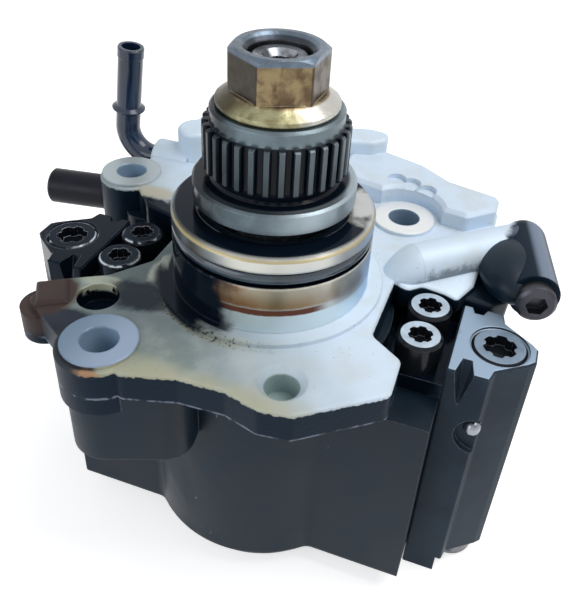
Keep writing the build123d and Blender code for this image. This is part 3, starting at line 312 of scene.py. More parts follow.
class PumpStage(PropertyGroup):
    """Camera, lamps and floor."""

    camera_place: FloatVectorProperty(
        name="Camera place", description="Where the camera stands", subtype="TRANSLATION",
        unit="LENGTH", size=3, default=(0.05331, -0.146755, 0.114748),
    )
    camera_turn: FloatVectorProperty(
        name="Camera turn", description="Camera rotation", subtype="EULER", unit="ROTATION",
        size=3, default=(math.radians(54.3834), math.radians(-3.3291), math.radians(19.2395)),
    )
    lens: FloatProperty(
        name="Focal length", description="Focal length", default=44.61, unit="CAMERA"
    )
    shift: FloatVectorProperty(
        name="Shift", description="Camera shift", size=2, default=(-0.0210, -0.0632)
    )
    key_power: FloatProperty(
        name="Key lamp", description="Power of the soft overhead lamp", default=2.6,
        min=0, subtype="POWER", unit="POWER",
    )
    fill_power: FloatProperty(
        name="Fill lamp", description="Power of the soft side lamp", default=1.2,
        min=0, subtype="POWER", unit="POWER",
    )
    sky: FloatProperty(
        name="Sky", description="Even light from all around", default=0.42, min=0, max=1
    )
    floor_reach: FloatProperty(
        name="Floor reach", description="How far the floor goes each way", default=3.0,
        min=0, subtype="DISTANCE", unit="LENGTH",
    )
    floor_glow: FloatProperty(
        name="Floor glow", description="How much whiter the camera sees the floor", default=0.62,
        min=0, max=1, subtype="FACTOR",
    )


def feed(tree, socket, value):
    """Link a socket to another one, or set its plain value."""
    if isinstance(value, bpy.types.NodeSocket):
        tree.links.new(value, socket)
    elif hasattr(value, "__len__") and socket.type == "RGBA" and len(value) == 3:
        socket.default_value = (*value, 1)
    else:
        socket.default_value = value


def add(tree, kind, inputs=None, **settings):
    """Shader node with its options set and its inputs fed."""
    made = tree.nodes.new("ShaderNode" + kind)
    for name, value in settings.items():
        setattr(made, name, value)
    for name, value in (inputs or {}).items():
        feed(tree, made.inputs[name], value)
    return made


def maths(tree, operation, *values):
    """Result of one step of arithmetic."""
    made = add(tree, "Math", operation=operation)
    for socket, value in zip(made.inputs, values):
        feed(tree, socket, value)
    return made.outputs[0]


def vector_maths(tree, operation, *values):
    """Vector result of one step of vector arithmetic."""
    made = add(tree, "VectorMath", operation=operation)
    for socket, value in zip(made.inputs, values):
        feed(tree, socket, value)
    return made.outputs["Value" if operation in ("LENGTH", "DOT_PRODUCT") else "Vector"]


def ramp(tree, value, low, high, start=0.0, end=1.0):
    """Smooth step of a value from start at low to end at high."""
    made = add(tree, "MapRange", interpolation_type="SMOOTHSTEP")
    for name, given in (
        ("Value", value), ("From Min", low), ("From Max", high), ("To Min", start), ("To Max", end)
    ):
        feed(tree, made.inputs[name], given)
    return made.outputs["Result"]


def below(tree, value, low, high):
    """Mask that is full where a value is under low, and gone where it is over high."""
    return ramp(tree, value, low, high, 1.0, 0.0)


def blend(tree, mask, first, second):
    """Colour that goes from first to second with the mask."""
    made = add(tree, "Mix", data_type="RGBA")
    for index, value in ((0, mask), (6, first), (7, second)):
        feed(tree, made.inputs[index], value)
    return made.outputs[2]


def fade(tree, mask, first, second):
    """Number that goes from first to second with the mask."""
    made = add(tree, "Mix", data_type="FLOAT")
    for index, value in ((0, mask), (2, first), (3, second)):
        feed(tree, made.inputs[index], value)
    return made.outputs[0]


def both(tree, first, *others):
    """Product of masks."""
    result = first
    for other in others:
        result = maths(tree, "MULTIPLY", result, other)
    return result


def either(tree, first, *others):
    """Strongest of several masks."""
    result = first
    for other in others:
        result = maths(tree, "MAXIMUM", result, other)
    return result


def place(tree):
    """Position on the piece, in the frame's axes, which stays with the piece."""
    return add(tree, "TexCoord").outputs["Object"]


def along(tree, vector, axis):
    """One coordinate of a vector."""
    return add(tree, "SeparateXYZ", {"Vector": vector}).outputs[axis]


def upward(tree):
    """How far the surface faces up, from -1 to 1."""
    return along(tree, add(tree, "TexCoord").outputs["Normal"], "Z")


def noise(tree, scale, detail=4.0, vector=None, distortion=0.0):
    """Noise value from 0 to 1 over the piece."""
    spot = vector if vector is not None else place(tree)
    inputs = {"Vector": spot, "Scale": scale, "Detail": detail, "Distortion": distortion}
    return add(tree, "TexNoise", inputs).outputs["Fac"]


def wobble(tree, scale, detail, spread, vector=None):
    """Noise about zero that makes an edge ragged, by half the spread each way."""
    centred = maths(tree, "SUBTRACT", noise(tree, scale, detail, vector), 0.5)
    return maths(tree, "MULTIPLY", centred, spread)


def flattened(tree, vector):
    """Vector without its height."""
    return vector_maths(tree, "MULTIPLY", vector, (1, 1, 0))


def effect(name, inputs, outputs):
    """Shader node group with named sockets, ready to be filled."""
    tree = bpy.data.node_groups.new(name, "ShaderNodeTree")
    for label, kind, default in inputs:
        socket = tree.interface.new_socket(
            name=label, in_out="INPUT", socket_type="NodeSocket" + kind
        )
        socket.default_value = default
    for label, kind in outputs:
        tree.interface.new_socket(name=label, in_out="OUTPUT", socket_type="NodeSocket" + kind)
    given = tree.nodes.new("NodeGroupInput").outputs
    return tree, given, tree.nodes.new("NodeGroupOutput").inputs


def use(tree, name, **inputs):
    """One effect placed in a material with its own values."""
    made = tree.nodes.new("ShaderNodeGroup")
    made.node_tree = bpy.data.node_groups[name]
    for label, value in inputs.items():
        feed(tree, made.inputs[label.replace("_", " ")], value)
    return made.outputs


def make_patch():
    """Ragged blot about a centre, such as a pool of oil or a stain."""
    tree, given, result = effect(
        "Ragged Patch",
        [
            ("Centre", "Vector", (0, 0, 0)),
            ("Reach", "Vector", (0.01, 0.01, 0.01)),
            ("Ragged", "Float", 0.6),
            ("Scale", "Float", 260.0),
            ("Soft", "Float", 0.12),
        ],
        [("Mask", "Float")],
    )
    spot = place(tree)
    offset = vector_maths(tree, "SUBTRACT", spot, given["Centre"])
    distance = vector_maths(tree, "LENGTH", vector_maths(tree, "DIVIDE", offset, given["Reach"]))
    rough = wobble(tree, given["Scale"], 6.0, given["Ragged"], spot)
    inside = maths(tree, "SUBTRACT", 1.0, given["Soft"])
    outside = maths(tree, "ADD", 1.0, given["Soft"])
    total = maths(tree, "ADD", distance, rough)
    feed(tree, result["Mask"], below(tree, total, inside, outside))


def make_height_band():
    """Mask between two heights with ragged edges."""
    tree, given, result = effect(
        "Height Band",
        [
            ("Low", "Float", 0.0),
            ("High", "Float", 0.01),
            ("Soft", "Float", 0.0004),
            ("Ragged", "Float", 0.0),
        ],
        [("Mask", "Float")],
    )
    rough = wobble(tree, 420.0, 5.0, given["Ragged"])
    height = maths(tree, "ADD", along(tree, place(tree), "Z"), rough)
    lower_edge = maths(tree, "ADD", given["Low"], given["Soft"])
    upper_edge = maths(tree, "SUBTRACT", given["High"], given["Soft"])
    over = ramp(tree, height, given["Low"], lower_edge)
    feed(tree, result["Mask"], both(tree, over, below(tree, height, upper_edge, given["High"])))


def make_ring_band():
    """Mask between two radii about an upright line."""
    tree, given, result = effect(
        "Ring Band",
        [
            ("Centre", "Vector", (0, 0, 0)),
            ("Inner", "Float", 0.0),
            ("Outer", "Float", 0.01),
            ("Soft", "Float", 0.0002),
        ],
        [("Mask", "Float")],
    )
    offset = vector_maths(tree, "SUBTRACT", place(tree), given["Centre"])
    radius = vector_maths(tree, "LENGTH", flattened(tree, offset))
    inner_edge = maths(tree, "SUBTRACT", given["Inner"], given["Soft"])
    outer_edge = maths(tree, "ADD", given["Outer"], given["Soft"])
    outside = ramp(tree, radius, inner_edge, given["Inner"])
    inside = below(tree, radius, given["Outer"], outer_edge)
    feed(tree, result["Mask"], both(tree, outside, inside))


def make_side():
    """Mask on the side of the shaft axis that a direction points to."""
    tree, given, result = effect(
        "Facing Side",
        [
            ("Direction", "Vector", (1, 0, 0)),
            ("From", "Float", 0.0),
            ("To", "Float", 0.3),
            ("Ragged", "Float", 0.2),
        ],
        [("Mask", "Float")],
    )
    spot = place(tree)
    outward = vector_maths(tree, "NORMALIZE", flattened(tree, spot))
    heading = vector_maths(tree, "NORMALIZE", given["Direction"])
    share = vector_maths(tree, "DOT_PRODUCT", outward, heading)
    share = maths(tree, "ADD", share, wobble(tree, 220.0, 5.0, given["Ragged"], spot))
    feed(tree, result["Mask"], ramp(tree, share, given["From"], given["To"]))


def make_grain():
    """Skin of a casting: fine grit, soft waves and slow blotches."""
    tree, given, result = effect(
        "Casting Grain",
        [("Scale", "Float", 1500.0), ("Blotches", "Float", 60.0)],
        [("Height", "Float"), ("Blotch", "Float")],
    )
    fine = noise(tree, given["Scale"], 3.0)
    wavy = noise(tree, maths(tree, "MULTIPLY", given["Scale"], 0.18), 2.0)
    feed(tree, result["Height"], fade(tree, 0.4, fine, wavy))
    feed(tree, result["Blotch"], noise(tree, given["Blotches"], 6.0, None, 0.6))


def make_edge_wear():
    """Mask along edges where the finish has rubbed through."""
    tree, given, result = effect(
        "Edge Wear",
        [("Width", "Float", 0.0006), ("Amount", "Float", 0.5), ("Scale", "Float", 500.0)],
        [("Mask", "Float"), ("Normal", "Vector")],
    )
    soft = add(tree, "Bevel", {"Radius": given["Width"]}, samples=4).outputs["Normal"]
    plain = add(tree, "NewGeometry").outputs["Normal"]
    bend = maths(tree, "SUBTRACT", 1.0, vector_maths(tree, "DOT_PRODUCT", soft, plain))
    broken = maths(tree, "MULTIPLY", noise(tree, given["Scale"], 5.0), bend)
    low = maths(tree, "SUBTRACT", 0.16, maths(tree, "MULTIPLY", given["Amount"], 0.14))
    feed(tree, result["Mask"], ramp(tree, broken, low, maths(tree, "ADD", low, 0.05)))
    feed(tree, result["Normal"], soft)


def make_turning():
    """Fine rings left by a lathe about the shaft axis, or about another upright line."""
    tree, given, result = effect(
        "Turning Marks",
        [("Centre", "Vector", (0, 0, 0)), ("Pitch", "Float", 0.0004)],
        [("Height", "Float")],
    )
    offset = vector_maths(tree, "SUBTRACT", place(tree), given["Centre"])
    radius = vector_maths(tree, "LENGTH", flattened(tree, offset))
    travel = maths(tree, "ADD", radius, along(tree, offset, "Z"))
    phase = maths(tree, "DIVIDE", travel, given["Pitch"])
    wander = add(tree, "TexNoise", {"W": phase, "Scale": 1.0, "Detail": 3.0}, noise_dimensions="1D")
    feed(tree, result["Height"], wander.outputs["Fac"])


def make_nicks():
    """Short bright nicks and scuffs scattered over paint."""
    tree, given, result = effect(
        "Nicks",
        [("Scale", "Float", 300.0), ("Amount", "Float", 0.3)],
        [("Mask", "Float")],
    )
    spot = place(tree)
    twisted = vector_maths(tree, "MULTIPLY", spot, (1.0, 1.0, 0.35))
    cells = add(tree, "TexVoronoi", {"Vector": twisted, "Scale": given["Scale"]})
    dot = ramp(tree, cells.outputs["Distance"], 0.03, 0.09, 1.0, 0.0)
    rare = noise(tree, maths(tree, "MULTIPLY", given["Scale"], 0.25), 2.0, spot)
    low = maths(tree, "SUBTRACT", 0.75, maths(tree, "MULTIPLY", given["Amount"], 0.35))
    high = maths(tree, "ADD", low, 0.04)
    feed(tree, result["Mask"], both(tree, dot, ramp(tree, rare, low, high)))


def patch(tree, centre, reach, ragged, scale, soft=0.12):
    """Mask of a ragged patch about a place."""
    made = use(
        tree, "Ragged Patch", Centre=centre, Reach=reach, Ragged=ragged, Scale=scale, Soft=soft
    )
    return made["Mask"]


def band(tree, heights, soft, ragged=0.0):
    """Mask between two heights."""
    low, high = heights
    return use(tree, "Height Band", Low=low, High=high, Soft=soft, Ragged=ragged)["Mask"]


def ring(tree, outer, soft, inner=0.0, centre=(0, 0, 0)):
    """Mask between two radii about the shaft axis, or about another upright line."""
    return use(tree, "Ring Band", Centre=centre, Inner=inner, Outer=outer, Soft=soft)["Mask"]


def facing(tree, direction, start, end, ragged):
    """Mask on the side of the shaft axis that a direction points to."""
    made = use(tree, "Facing Side", Direction=direction, From=start, To=end, Ragged=ragged)
    return made["Mask"]


def nicks(tree, scale, amount):
    """Mask of scattered nicks."""
    return use(tree, "Nicks", Scale=scale, Amount=amount)["Mask"]


def finish(name):
    """New material with an empty tree, its main shader and its output."""
    material = bpy.data.materials.new(name)
    material.use_nodes = True
    tree = material.node_tree
    tree.nodes.clear()
    shader = add(tree, "BsdfPrincipled")
    output = add(tree, "OutputMaterial")
    tree.links.new(shader.outputs["BSDF"], output.inputs["Surface"])
    return material, tree, shader.inputs


def worn_finish(name, grain, wear):
    """New material with a casting's grain and rubbed edges ready to use.

    The grain is given as the scales of its grit and of its blotches, and the wear as the
    width, amount and scale of the rubbed edges.
    """
    material, tree, shader = finish(name)
    skin = use(tree, "Casting Grain", Scale=grain[0], Blotches=grain[1])
    rubbed = use(tree, "Edge Wear", Width=wear[0], Amount=wear[1], Scale=wear[2])
    return material, tree, shader, skin, rubbed


class Layers:
    """Colour, roughness and metal of a surface, built up layer by layer."""

    def __init__(self, tree, colour, roughness, metallic):
        self.tree = tree
        self.colour = colour
        self.roughness = roughness
        self.metallic = metallic

    def lay(self, mask, colour=None, roughness=None, metallic=None):
        """Cover what a mask shows with a new colour, roughness or metal."""
        if colour is not None:
            self.colour = blend(self.tree, mask, self.colour, colour)
        if roughness is not None:
            self.roughness = fade(self.tree, mask, self.roughness, roughness)
        if metallic is not None:
            self.metallic = fade(self.tree, mask, self.metallic, metallic)

    def show(self, shader):
        """Feed the finished layers to a material's shader."""
        feed(self.tree, shader["Base Color"], self.colour)
        feed(self.tree, shader["Roughness"], self.roughness)
        feed(self.tree, shader["Metallic"], self.metallic)


def mottle(tree, grain, colour, share):
    """Colour that turns to a share of itself in slow blotches."""
    return blend(tree, ramp(tree, grain["Blotch"], 0.3, 0.7), colour, [c * share for c in colour])


def set_sheen(shader, level, tint=(1, 1, 1)):
    """Set how strongly a surface mirrors its surroundings, and in what colour."""
    shader["Specular IOR Level"].default_value = level
    shader["Specular Tint"].default_value = (*tint, 1)


def roughen(tree, shader, height, distance, strength, wear):
    """Give a material the normal of a height over its softened edges."""
    inputs = {"Height": height, "Distance": distance, "Strength": strength, "Normal": wear["Normal"]}
    feed(tree, shader["Normal"], add(tree, "Bump", inputs).outputs["Normal"])


def soiled_shaded_casting(tree, spot, grain, colours):
    """Layers of the pale casting with painted shade towards the front left, old fuel, stains, dirt and
    specks.
    """
    # Painted shade: darker towards the front left, where less light falls, and filmed with old fuel
    # there; clean and bright towards the back right
    run = vector_maths(tree, "DOT_PRODUCT", spot, (0.7, 0.7, 0.0))
    drift = maths(tree, "MULTIPLY", maths(tree, "SUBTRACT", grain["Blotch"], 0.5), 0.022)
    clean = ramp(tree, maths(tree, "ADD", run, drift), -0.040, 0.008)
    look = Layers(tree, blend(tree, clean, colours.casting_shade_and_film, colours.casting), 0.50, 0.15)
    look.lay(ramp(tree, noise(tree, 130.0, 6.0), 0.42, 0.72, 0.0, 0.35), SHADE["fuel mist"])
    cream = patch(tree, (0.002, -0.0465, 0), (0.030, 0.0058, 0.02), 0.9, 140.0, 0.5)
    look.lay(both(tree, cream, 0.75), colours.casting_cream)
    for centre, reach, ragged, scale, soft, strength, shade in STAINS:
        look.lay(both(tree, patch(tree, centre, reach, ragged, scale, soft), strength), shade)

    # Speckled dirt in the corner at the foot of the spigot
    corner = ring(tree, corner_r + 0.0012, 0.0012, corner_r)
    dirty = both(tree, corner, facing(tree, (-0.30, -0.95, 0), 0.70, 0.95, 0.6))
    crumbs = ramp(tree, noise(tree, 900.0, 5.0), 0.53, 0.60)
    look.lay(both(tree, dirty, 0.5), SHADE["corner film"])
    look.lay(both(tree, dirty, crumbs, 0.85), SHADE["crumbs"])
    look.lay(nicks(tree, 620.0, 0.8), SHADE["specks"])
    return look


def paint_flange(look, spot, height, grain, colours, surface):
    """Lay the black paint of the flange's sides and branch, a painted shadow under the tube, a painted
    highlight along the branch, and the brown pad.
    """
    tree, up = look.tree, upward(look.tree)
    # Sides below the top face, with a chipped upper edge
    jagged = maths(tree, "ADD", height, wobble(tree, 900.0, 5.0, 0.0016))
    low_sides = both(tree, below(tree, jagged, *PAINT_LINE), below(tree, up, 0.35, 0.6))
    # The end of the gallery, black from a slanting line outwards
    slant = vector_maths(tree, "DOT_PRODUCT", spot, (1.0, -0.15, 0.0))
    slant = maths(tree, "ADD", slant, wobble(tree, 260.0, 6.0, 0.004))
    branch = ramp(tree, slant, 0.0500, 0.0520)
    # Painted shadow: the underside of the tube is painted black where it faces down
    under_tube = patch(tree, (0.048, 0.023, -0.002), (0.013, 0.016, 0.008), 0.8, 260.0)
    ragged_up = maths(tree, "ADD", up, wobble(tree, 420.0, 6.0, 1.1))
    shadow_under_tube = both(tree, under_tube, ramp(tree, ragged_up, -0.10, 0.42, 0.60, 0.0))
    # Where that paint is chipped, and a painted highlight along the top of the branch
    chipped = both(
        tree, band(tree, LOWER_EDGE, 0.0002, 0.0007),
        ramp(tree, noise(tree, 350.0, 6.0), 0.40, 0.58), 0.8,
        below(tree, along(tree, spot, "Y"), -0.012, -0.008),
    )
    # Painted highlight along the top of the branch, where its surface faces the overhead light
    normal = add(tree, "TexCoord").outputs["Normal"]
    streak = vector_maths(tree, "DOT_PRODUCT", normal, (0.36, 0.14, 0.92))
    branch_highlight = both(tree, branch, ramp(tree, streak, 0.87, 0.99), 0.8)
    paint = blend(tree, chipped, colours.paint, SHADE["chipped edge"])
    paint = blend(tree, branch_highlight, paint, SHADE["painted branch highlight"])
    look.lay(either(tree, low_sides, branch, shadow_under_tube), paint, surface.paint_roughness, 0.0)

    pad = patch(tree, (-0.0490, -0.0300, -0.003), (0.0098, 0.0090, 0.0100), 0.12, 300.0)
    rust = blend(tree, grain["Blotch"], colours.brown_pad, SHADE["pad blotch"])
    rust = blend(tree, ramp(tree, height, *PAD_FOOT, 0.85, 0.0), rust, SHADE["pad foot"])
    look.lay(pad, rust, 0.5)


def face_bosses(look, spot, top, colours):
    """Lay the faced bosses, painted shade on the left of the near boss, and the walls of the drilled
    holes.
    """
    tree = look.tree
    for centre, shade in (
        (near_boss, colours.boss_near), (far_boss, colours.boss_far), (ear_boss, SHADE["ear boss"])
    ):
        look.lay(both(tree, ring(tree, boss_r, 0.0001, centre=centre), top), shade, 0.32, 0.35)
        look.lay(ring(tree, hole_r, 0.00005, centre=centre), colours.bore_wall)
    # Painted shade: the near boss's turned ring darker towards the left
    boss_left_shade = ramp(tree, along(tree, spot, "X"), -0.0345, -0.0200, 0.8, 0.0)
    turned = ring(tree, boss_r, 0.0001, hole_r, near_boss)
    look.lay(both(tree, turned, top, boss_left_shade), SHADE["painted shade on boss"])
    look.lay(ring(tree, dowel_r, 0.0001, centre=dowel_hole), SHADE["dowel wall"])


def varnish_spigot(look, height, grain, colours):
    """Lay the ground spigot, its baked varnish, the red rim and the golden chamfer."""
    tree = look.tree
    spigot = both(
        tree, ring(tree, spigot_r + 0.0001, 0.0001), ramp(tree, height, *SPIGOT_FOOT)
    )
    look.lay(spigot, colours.bright_steel, 0.30, 0.85)
    look.lay(both(tree, spigot, below(tree, height, *CLEAN_FOOT)), SHADE["clean foot"])
    shaded = facing(tree, (-1.0, -0.25, 0), 0.20, 0.80, 0.1)
    look.lay(both(tree, spigot, shaded, 0.85), SHADE["shaded spigot"])
    front = facing(tree, (0.02, -1.0, 0), 0.30, 0.85, 0.3)
    burnt = facing(tree, (-0.42, -0.90, 0), 0.78, 0.98, 0.3)
    tan = blend(tree, ramp(tree, height, *VARNISH_FADE), colours.varnish, SHADE["pale varnish"])
    tan = blend(tree, both(tree, burnt, 0.8), tan, SHADE["burnt varnish"])
    uneven = ramp(tree, grain["Blotch"], 0.2, 0.5, 0.75, 1.0)
    look.lay(both(tree, spigot, front, band(tree, VARNISH, 0.0012, 0.001), uneven), tan)
    rim_side = facing(tree, (0.10, -1.0, 0), 0.66, 0.80, 0.15)
    rim = both(tree, spigot, rim_side, band(tree, VARNISH_RIM, 0.0004, 0.0006))
    look.lay(rim, colours.varnish_edge, metallic=0.2)
    chamfer = both(tree, spigot, band(tree, CROWN_CHAMFER, 0.0003, 0.0004), 0.8)
    look.lay(chamfer, SHADE["gold chamfer"])
    return spigot


def oil_flange(look, spot, height, colours, surface):
    """Lay the oil on the spigot, in its groove and recess, and on the plate, and painted light on part
    of the recess wall.
    """
    tree = look.tree
    soaked = both(
        tree, facing(tree, (-0.92, -0.38, 0), 0.30, 0.55, 0.35),
        band(tree, SOAKED_SIDE, 0.002, 0.006), ring(tree, foot_r, 0.0012),
    )
    dry_side = facing(tree, (0.95, 0.30, 0), 0.88, 1.0, 0.3)
    pooled = both(
        tree, ring(tree, crown_r, 0.0012), ramp(tree, height, *CROWN),
        maths(tree, "SUBTRACT", 1.0, dry_side),
    )
    grooved = both(tree, ring(tree, groove_r, 0.0002), band(tree, RING_GROOVE, 0.0003))
    sink = ring(tree, sunk_r, 0.0002, centre=sunk_hole)
    recess = both(tree, sink, below(tree, height, *RECESS_MOUTH))
    smear = patch(tree, (-0.0265, -0.0215, -0.001), (0.0090, 0.0056, 0.0040), 0.9, 300.0, 0.3)
    foot_side = facing(tree, (-0.66, -0.75, 0), 0.78, 0.93, 0.25)
    foot_pool = both(
        tree, ring(tree, corner_r, 0.0022), foot_side, below(tree, height, *FOOT_POOL)
    )
    ear_oil = patch(tree, (-0.047, 0.0125, -0.006), (0.017, 0.0098, 0.013), 0.5, 300.0)
    oily = either(
        tree, soaked, pooled, grooved, recess, foot_pool, both(tree, smear, 0.9), ear_oil
    )
    look.lay(oily, colours.oil, surface.oil_roughness, 0.0)
    # Painted light on the lit part of the recess wall
    lit_recess_wall = both(
        tree, sink, ramp(tree, height, *RECESS_FLOOR),
        ramp(tree, along(tree, spot, "Y"), -0.0256, -0.0242),
        below(tree, along(tree, spot, "X"), -0.0345, -0.0325),
        ramp(tree, noise(tree, 500.0, 6.0), 0.36, 0.46),
    )
    look.lay(lit_recess_wall, SHADE["lit recess wall"])


def flange_casting(colours, surface):
    """Cast flange: pale skin, faced bosses, ground spigot, black paint and oil, with painted light and
    shade.
    """
    material, tree, shader, grain, wear = worn_finish(
        "Flange casting", grain=(1300.0, 55.0), wear=(0.0007, 0.6, 500.0)
    )
    spot = place(tree)
    height = along(tree, spot, "Z")
    top = ramp(tree, height, *TOP_FACE)
    look = soiled_shaded_casting(tree, spot, grain, colours)
    paint_flange(look, spot, height, grain, colours, surface)
    face_bosses(look, spot, top, colours)
    spigot = varnish_spigot(look, height, grain, colours)
    oil_flange(look, spot, height, colours, surface)
    look.show(shader)
    set_sheen(shader, surface.oil_sheen, surface.sheen_tint)
    # The grain is deep on the cast skin and shallow where the flange is machined
    machined = either(tree, spigot, top)
    depth = fade(tree, machined, surface.grain_depth, surface.grain_depth * 0.06)
    roughen(tree, shader, maths(tree, "MULTIPLY", grain["Height"], depth), 1.0, 1.0, wear)
    return material


def black_paint(name, colour, surface):
    """Satin black paint on a casting with rubbed edges and nicks."""
    material, tree, shader, grain, wear = worn_finish(
        name, grain=(1400.0, 40.0), wear=(surface.edge_radius, 0.45, 650.0)
    )
    glossy, dull = surface.paint_roughness - 0.08, surface.paint_roughness + 0.08
    patchy = ramp(tree, grain["Blotch"], 0.35, 0.65, glossy, dull)
    look = Layers(tree, mottle(tree, grain, colour, 1.45), patchy, 0.0)
    rubbed = either(tree, both(tree, wear["Mask"], 0.55), nicks(tree, 260.0, 0.35))
    look.lay(rubbed, SHADE["rubbed paint"])
    look.show(shader)
    set_sheen(shader, surface.paint_sheen)
    roughen(tree, shader, grain["Height"], surface.grain_depth * 0.8, 0.6, wear)
    return material


def rim_arc(tree, spot, node, outset):
    """Broken painted highlight along the top rim of each round head in a node."""
    low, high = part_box(node)
    radius = (high.x - low.x) / 2
    outer = radius + outset
    arcs = [
        ring(tree, outer, 0.0001, outer - 0.0003, ((low.x + high.x) / 2, y, 0))
        for y in sorted({round(low.y + radius, 5), round(high.y - radius, 5)})
    ]
    near_top = ramp(tree, along(tree, spot, "Z"), high.z - 0.0009, high.z - 0.0006)
    broken = ramp(tree, noise(tree, 260.0, 4.0), 0.44, 0.54)
    return both(tree, either(tree, *arcs), near_top, broken)


def head_block(colours, surface):
    """Black head with a machined top and rubbed edges, lightened as a painted highlight; the left one
    is soaked in oil, with a painted highlight on its plug's rim.
    """
    material, tree, shader, grain, wear = worn_finish(
        "Head block", grain=(1400.0, 50.0), wear=(surface.edge_radius, 0.5, 650.0)
    )
    spot = place(tree)
    height = along(tree, spot, "Z")
    look = Layers(tree, mottle(tree, grain, colours.block, 1.5), surface.paint_roughness, 0.0)
    rubbed = either(tree, both(tree, wear["Mask"], 0.6), nicks(tree, 300.0, 0.3))
    look.lay(rubbed, SHADE["rubbed head"])
    faced = both(tree, ramp(tree, upward(tree), 0.7, 0.9), ramp(tree, height, *HEAD_TOP))
    look.lay(faced, colours.faced_block, 0.34, 0.5)
    left_oil = patch(tree, (-0.050, -0.002, -0.004), (0.026, 0.018, 0.018), 0.5, 180.0)
    seat_oil = patch(tree, (0.041, 0.0, -0.012), (0.0105, 0.018, 0.010), 0.4, 260.0)
    look.lay(either(tree, left_oil, seat_oil), colours.oil, surface.oil_roughness, 0.0)
    # Rubbed edges, lightened over the oil as a painted highlight, and a painted highlight along the
    # left plug's rim
    look.lay(both(tree, wear["Mask"], 0.5), SHADE["head edge wear and highlight"])
    glint = both(tree, rim_arc(tree, spot, "top_plug_left", 0.0002), left_oil)
    look.lay(glint, SHADE["head glint"])
    look.show(shader)
    set_sheen(shader, surface.paint_sheen * 0.6, surface.sheen_tint)
    roughen(tree, shader, grain["Height"], surface.grain_depth * 0.7, 0.5, wear)
    return material


def screw_steel(name, colours, surface, top_from, top_shade=None, oiled=None):
    """Black oxide screw: a rubbed top, or oil with painted highlights on its edges and rims on the node
    named as oiled.
    """
    material, tree, shader, grain, wear = worn_finish(
        name, grain=(1800.0, 200.0), wear=(0.0004, 0.6, 900.0)
    )
    spot = place(tree)
    at_top = ramp(tree, along(tree, spot, "Z"), top_from, top_from + 0.0005)
    face = both(tree, ramp(tree, upward(tree), 0.7, 0.9), at_top)
    edges = both(tree, wear["Mask"], 0.8)
    look = Layers(tree, colours.black_oxide, 0.16, 0.3)
    if oiled:
        # Rubbed edges lightened as a painted highlight, and a painted highlight along the rims
        look.lay(edges, SHADE["screw edge wear and highlight"])
        look.lay(rim_arc(tree, spot, oiled, -0.0003), SHADE["screw glint"])
        look.lay(face, roughness=0.12)
        set_sheen(shader, surface.paint_sheen * 0.6, surface.sheen_tint)
    else:
        look.lay(edges, SHADE["screw edge"])
        look.lay(face, mottle(tree, grain, top_shade, 0.75), 0.36)
        set_sheen(shader, surface.paint_sheen)
    look.show(shader)
    roughen(tree, shader, grain["Height"], 0.00006, 0.6, wear)
    return material


def drive_hub_steel(colours, surface):
    """Dark satin hub: rubbed tooth tips, black oil between them and in the neck, painted light on the
    right of the collar and painted shade on its left side.
    """
    material, tree, shader, grain, wear = worn_finish(
        "Drive hub steel", grain=(1600.0, 140.0), wear=(0.00035, 0.7, 900.0)
    )
    height = along(tree, place(tree), "Z")
    turning = use(tree, "Turning Marks", Pitch=0.0005)
    look = Layers(tree, mottle(tree, grain, colours.hub_steel, 0.7), 0.34, 0.85)
    look.lay(both(tree, wear["Mask"], 0.7), SHADE["tooth tips"])
    grimy = both(
        tree, ramp(tree, height, *GRIME_FADE, 0.88, 0.55), below(tree, height, *GRIME_TOP),
        ramp(tree, height, *GRIME_FOOT),
    )
    look.lay(grimy, SHADE["hub grime"])
    lit_side = facing(tree, (1.0, -0.10, 0), 0.30, 0.85, 0.2)
    lit = both(tree, lit_side, ramp(tree, height, *COLLAR_TOP, 0.75, 0.10))
    look.lay(lit, SHADE["lit collar"])
    gaps = both(tree, ring(tree, 0.0163, 0.0008), band(tree, TEETH, 0.0004))
    neck = both(
        tree, ring(tree, 0.0172, 0.0012), ramp(tree, height, *NECK_FOOT),
        below(tree, height, *NECK_TOP),
    )
    # Painted shade: the left side of the hub takes the colour of the oil
    hub_left_shade = both(tree, facing(tree, (-1.0, -0.25, 0), 0.35, 0.85, 0.5), 0.9)
    oily = either(tree, gaps, neck, below(tree, height, *HUB_UNDERSIDE), hub_left_shade)
    look.lay(oily, colours.oil, 0.16, 0.0)
    look.show(shader)
    set_sheen(shader, surface.oil_sheen)
    marks = fade(tree, 0.5, turning["Height"], grain["Height"])
    roughen(tree, shader, marks, 0.00003, 0.7, wear)
    return material


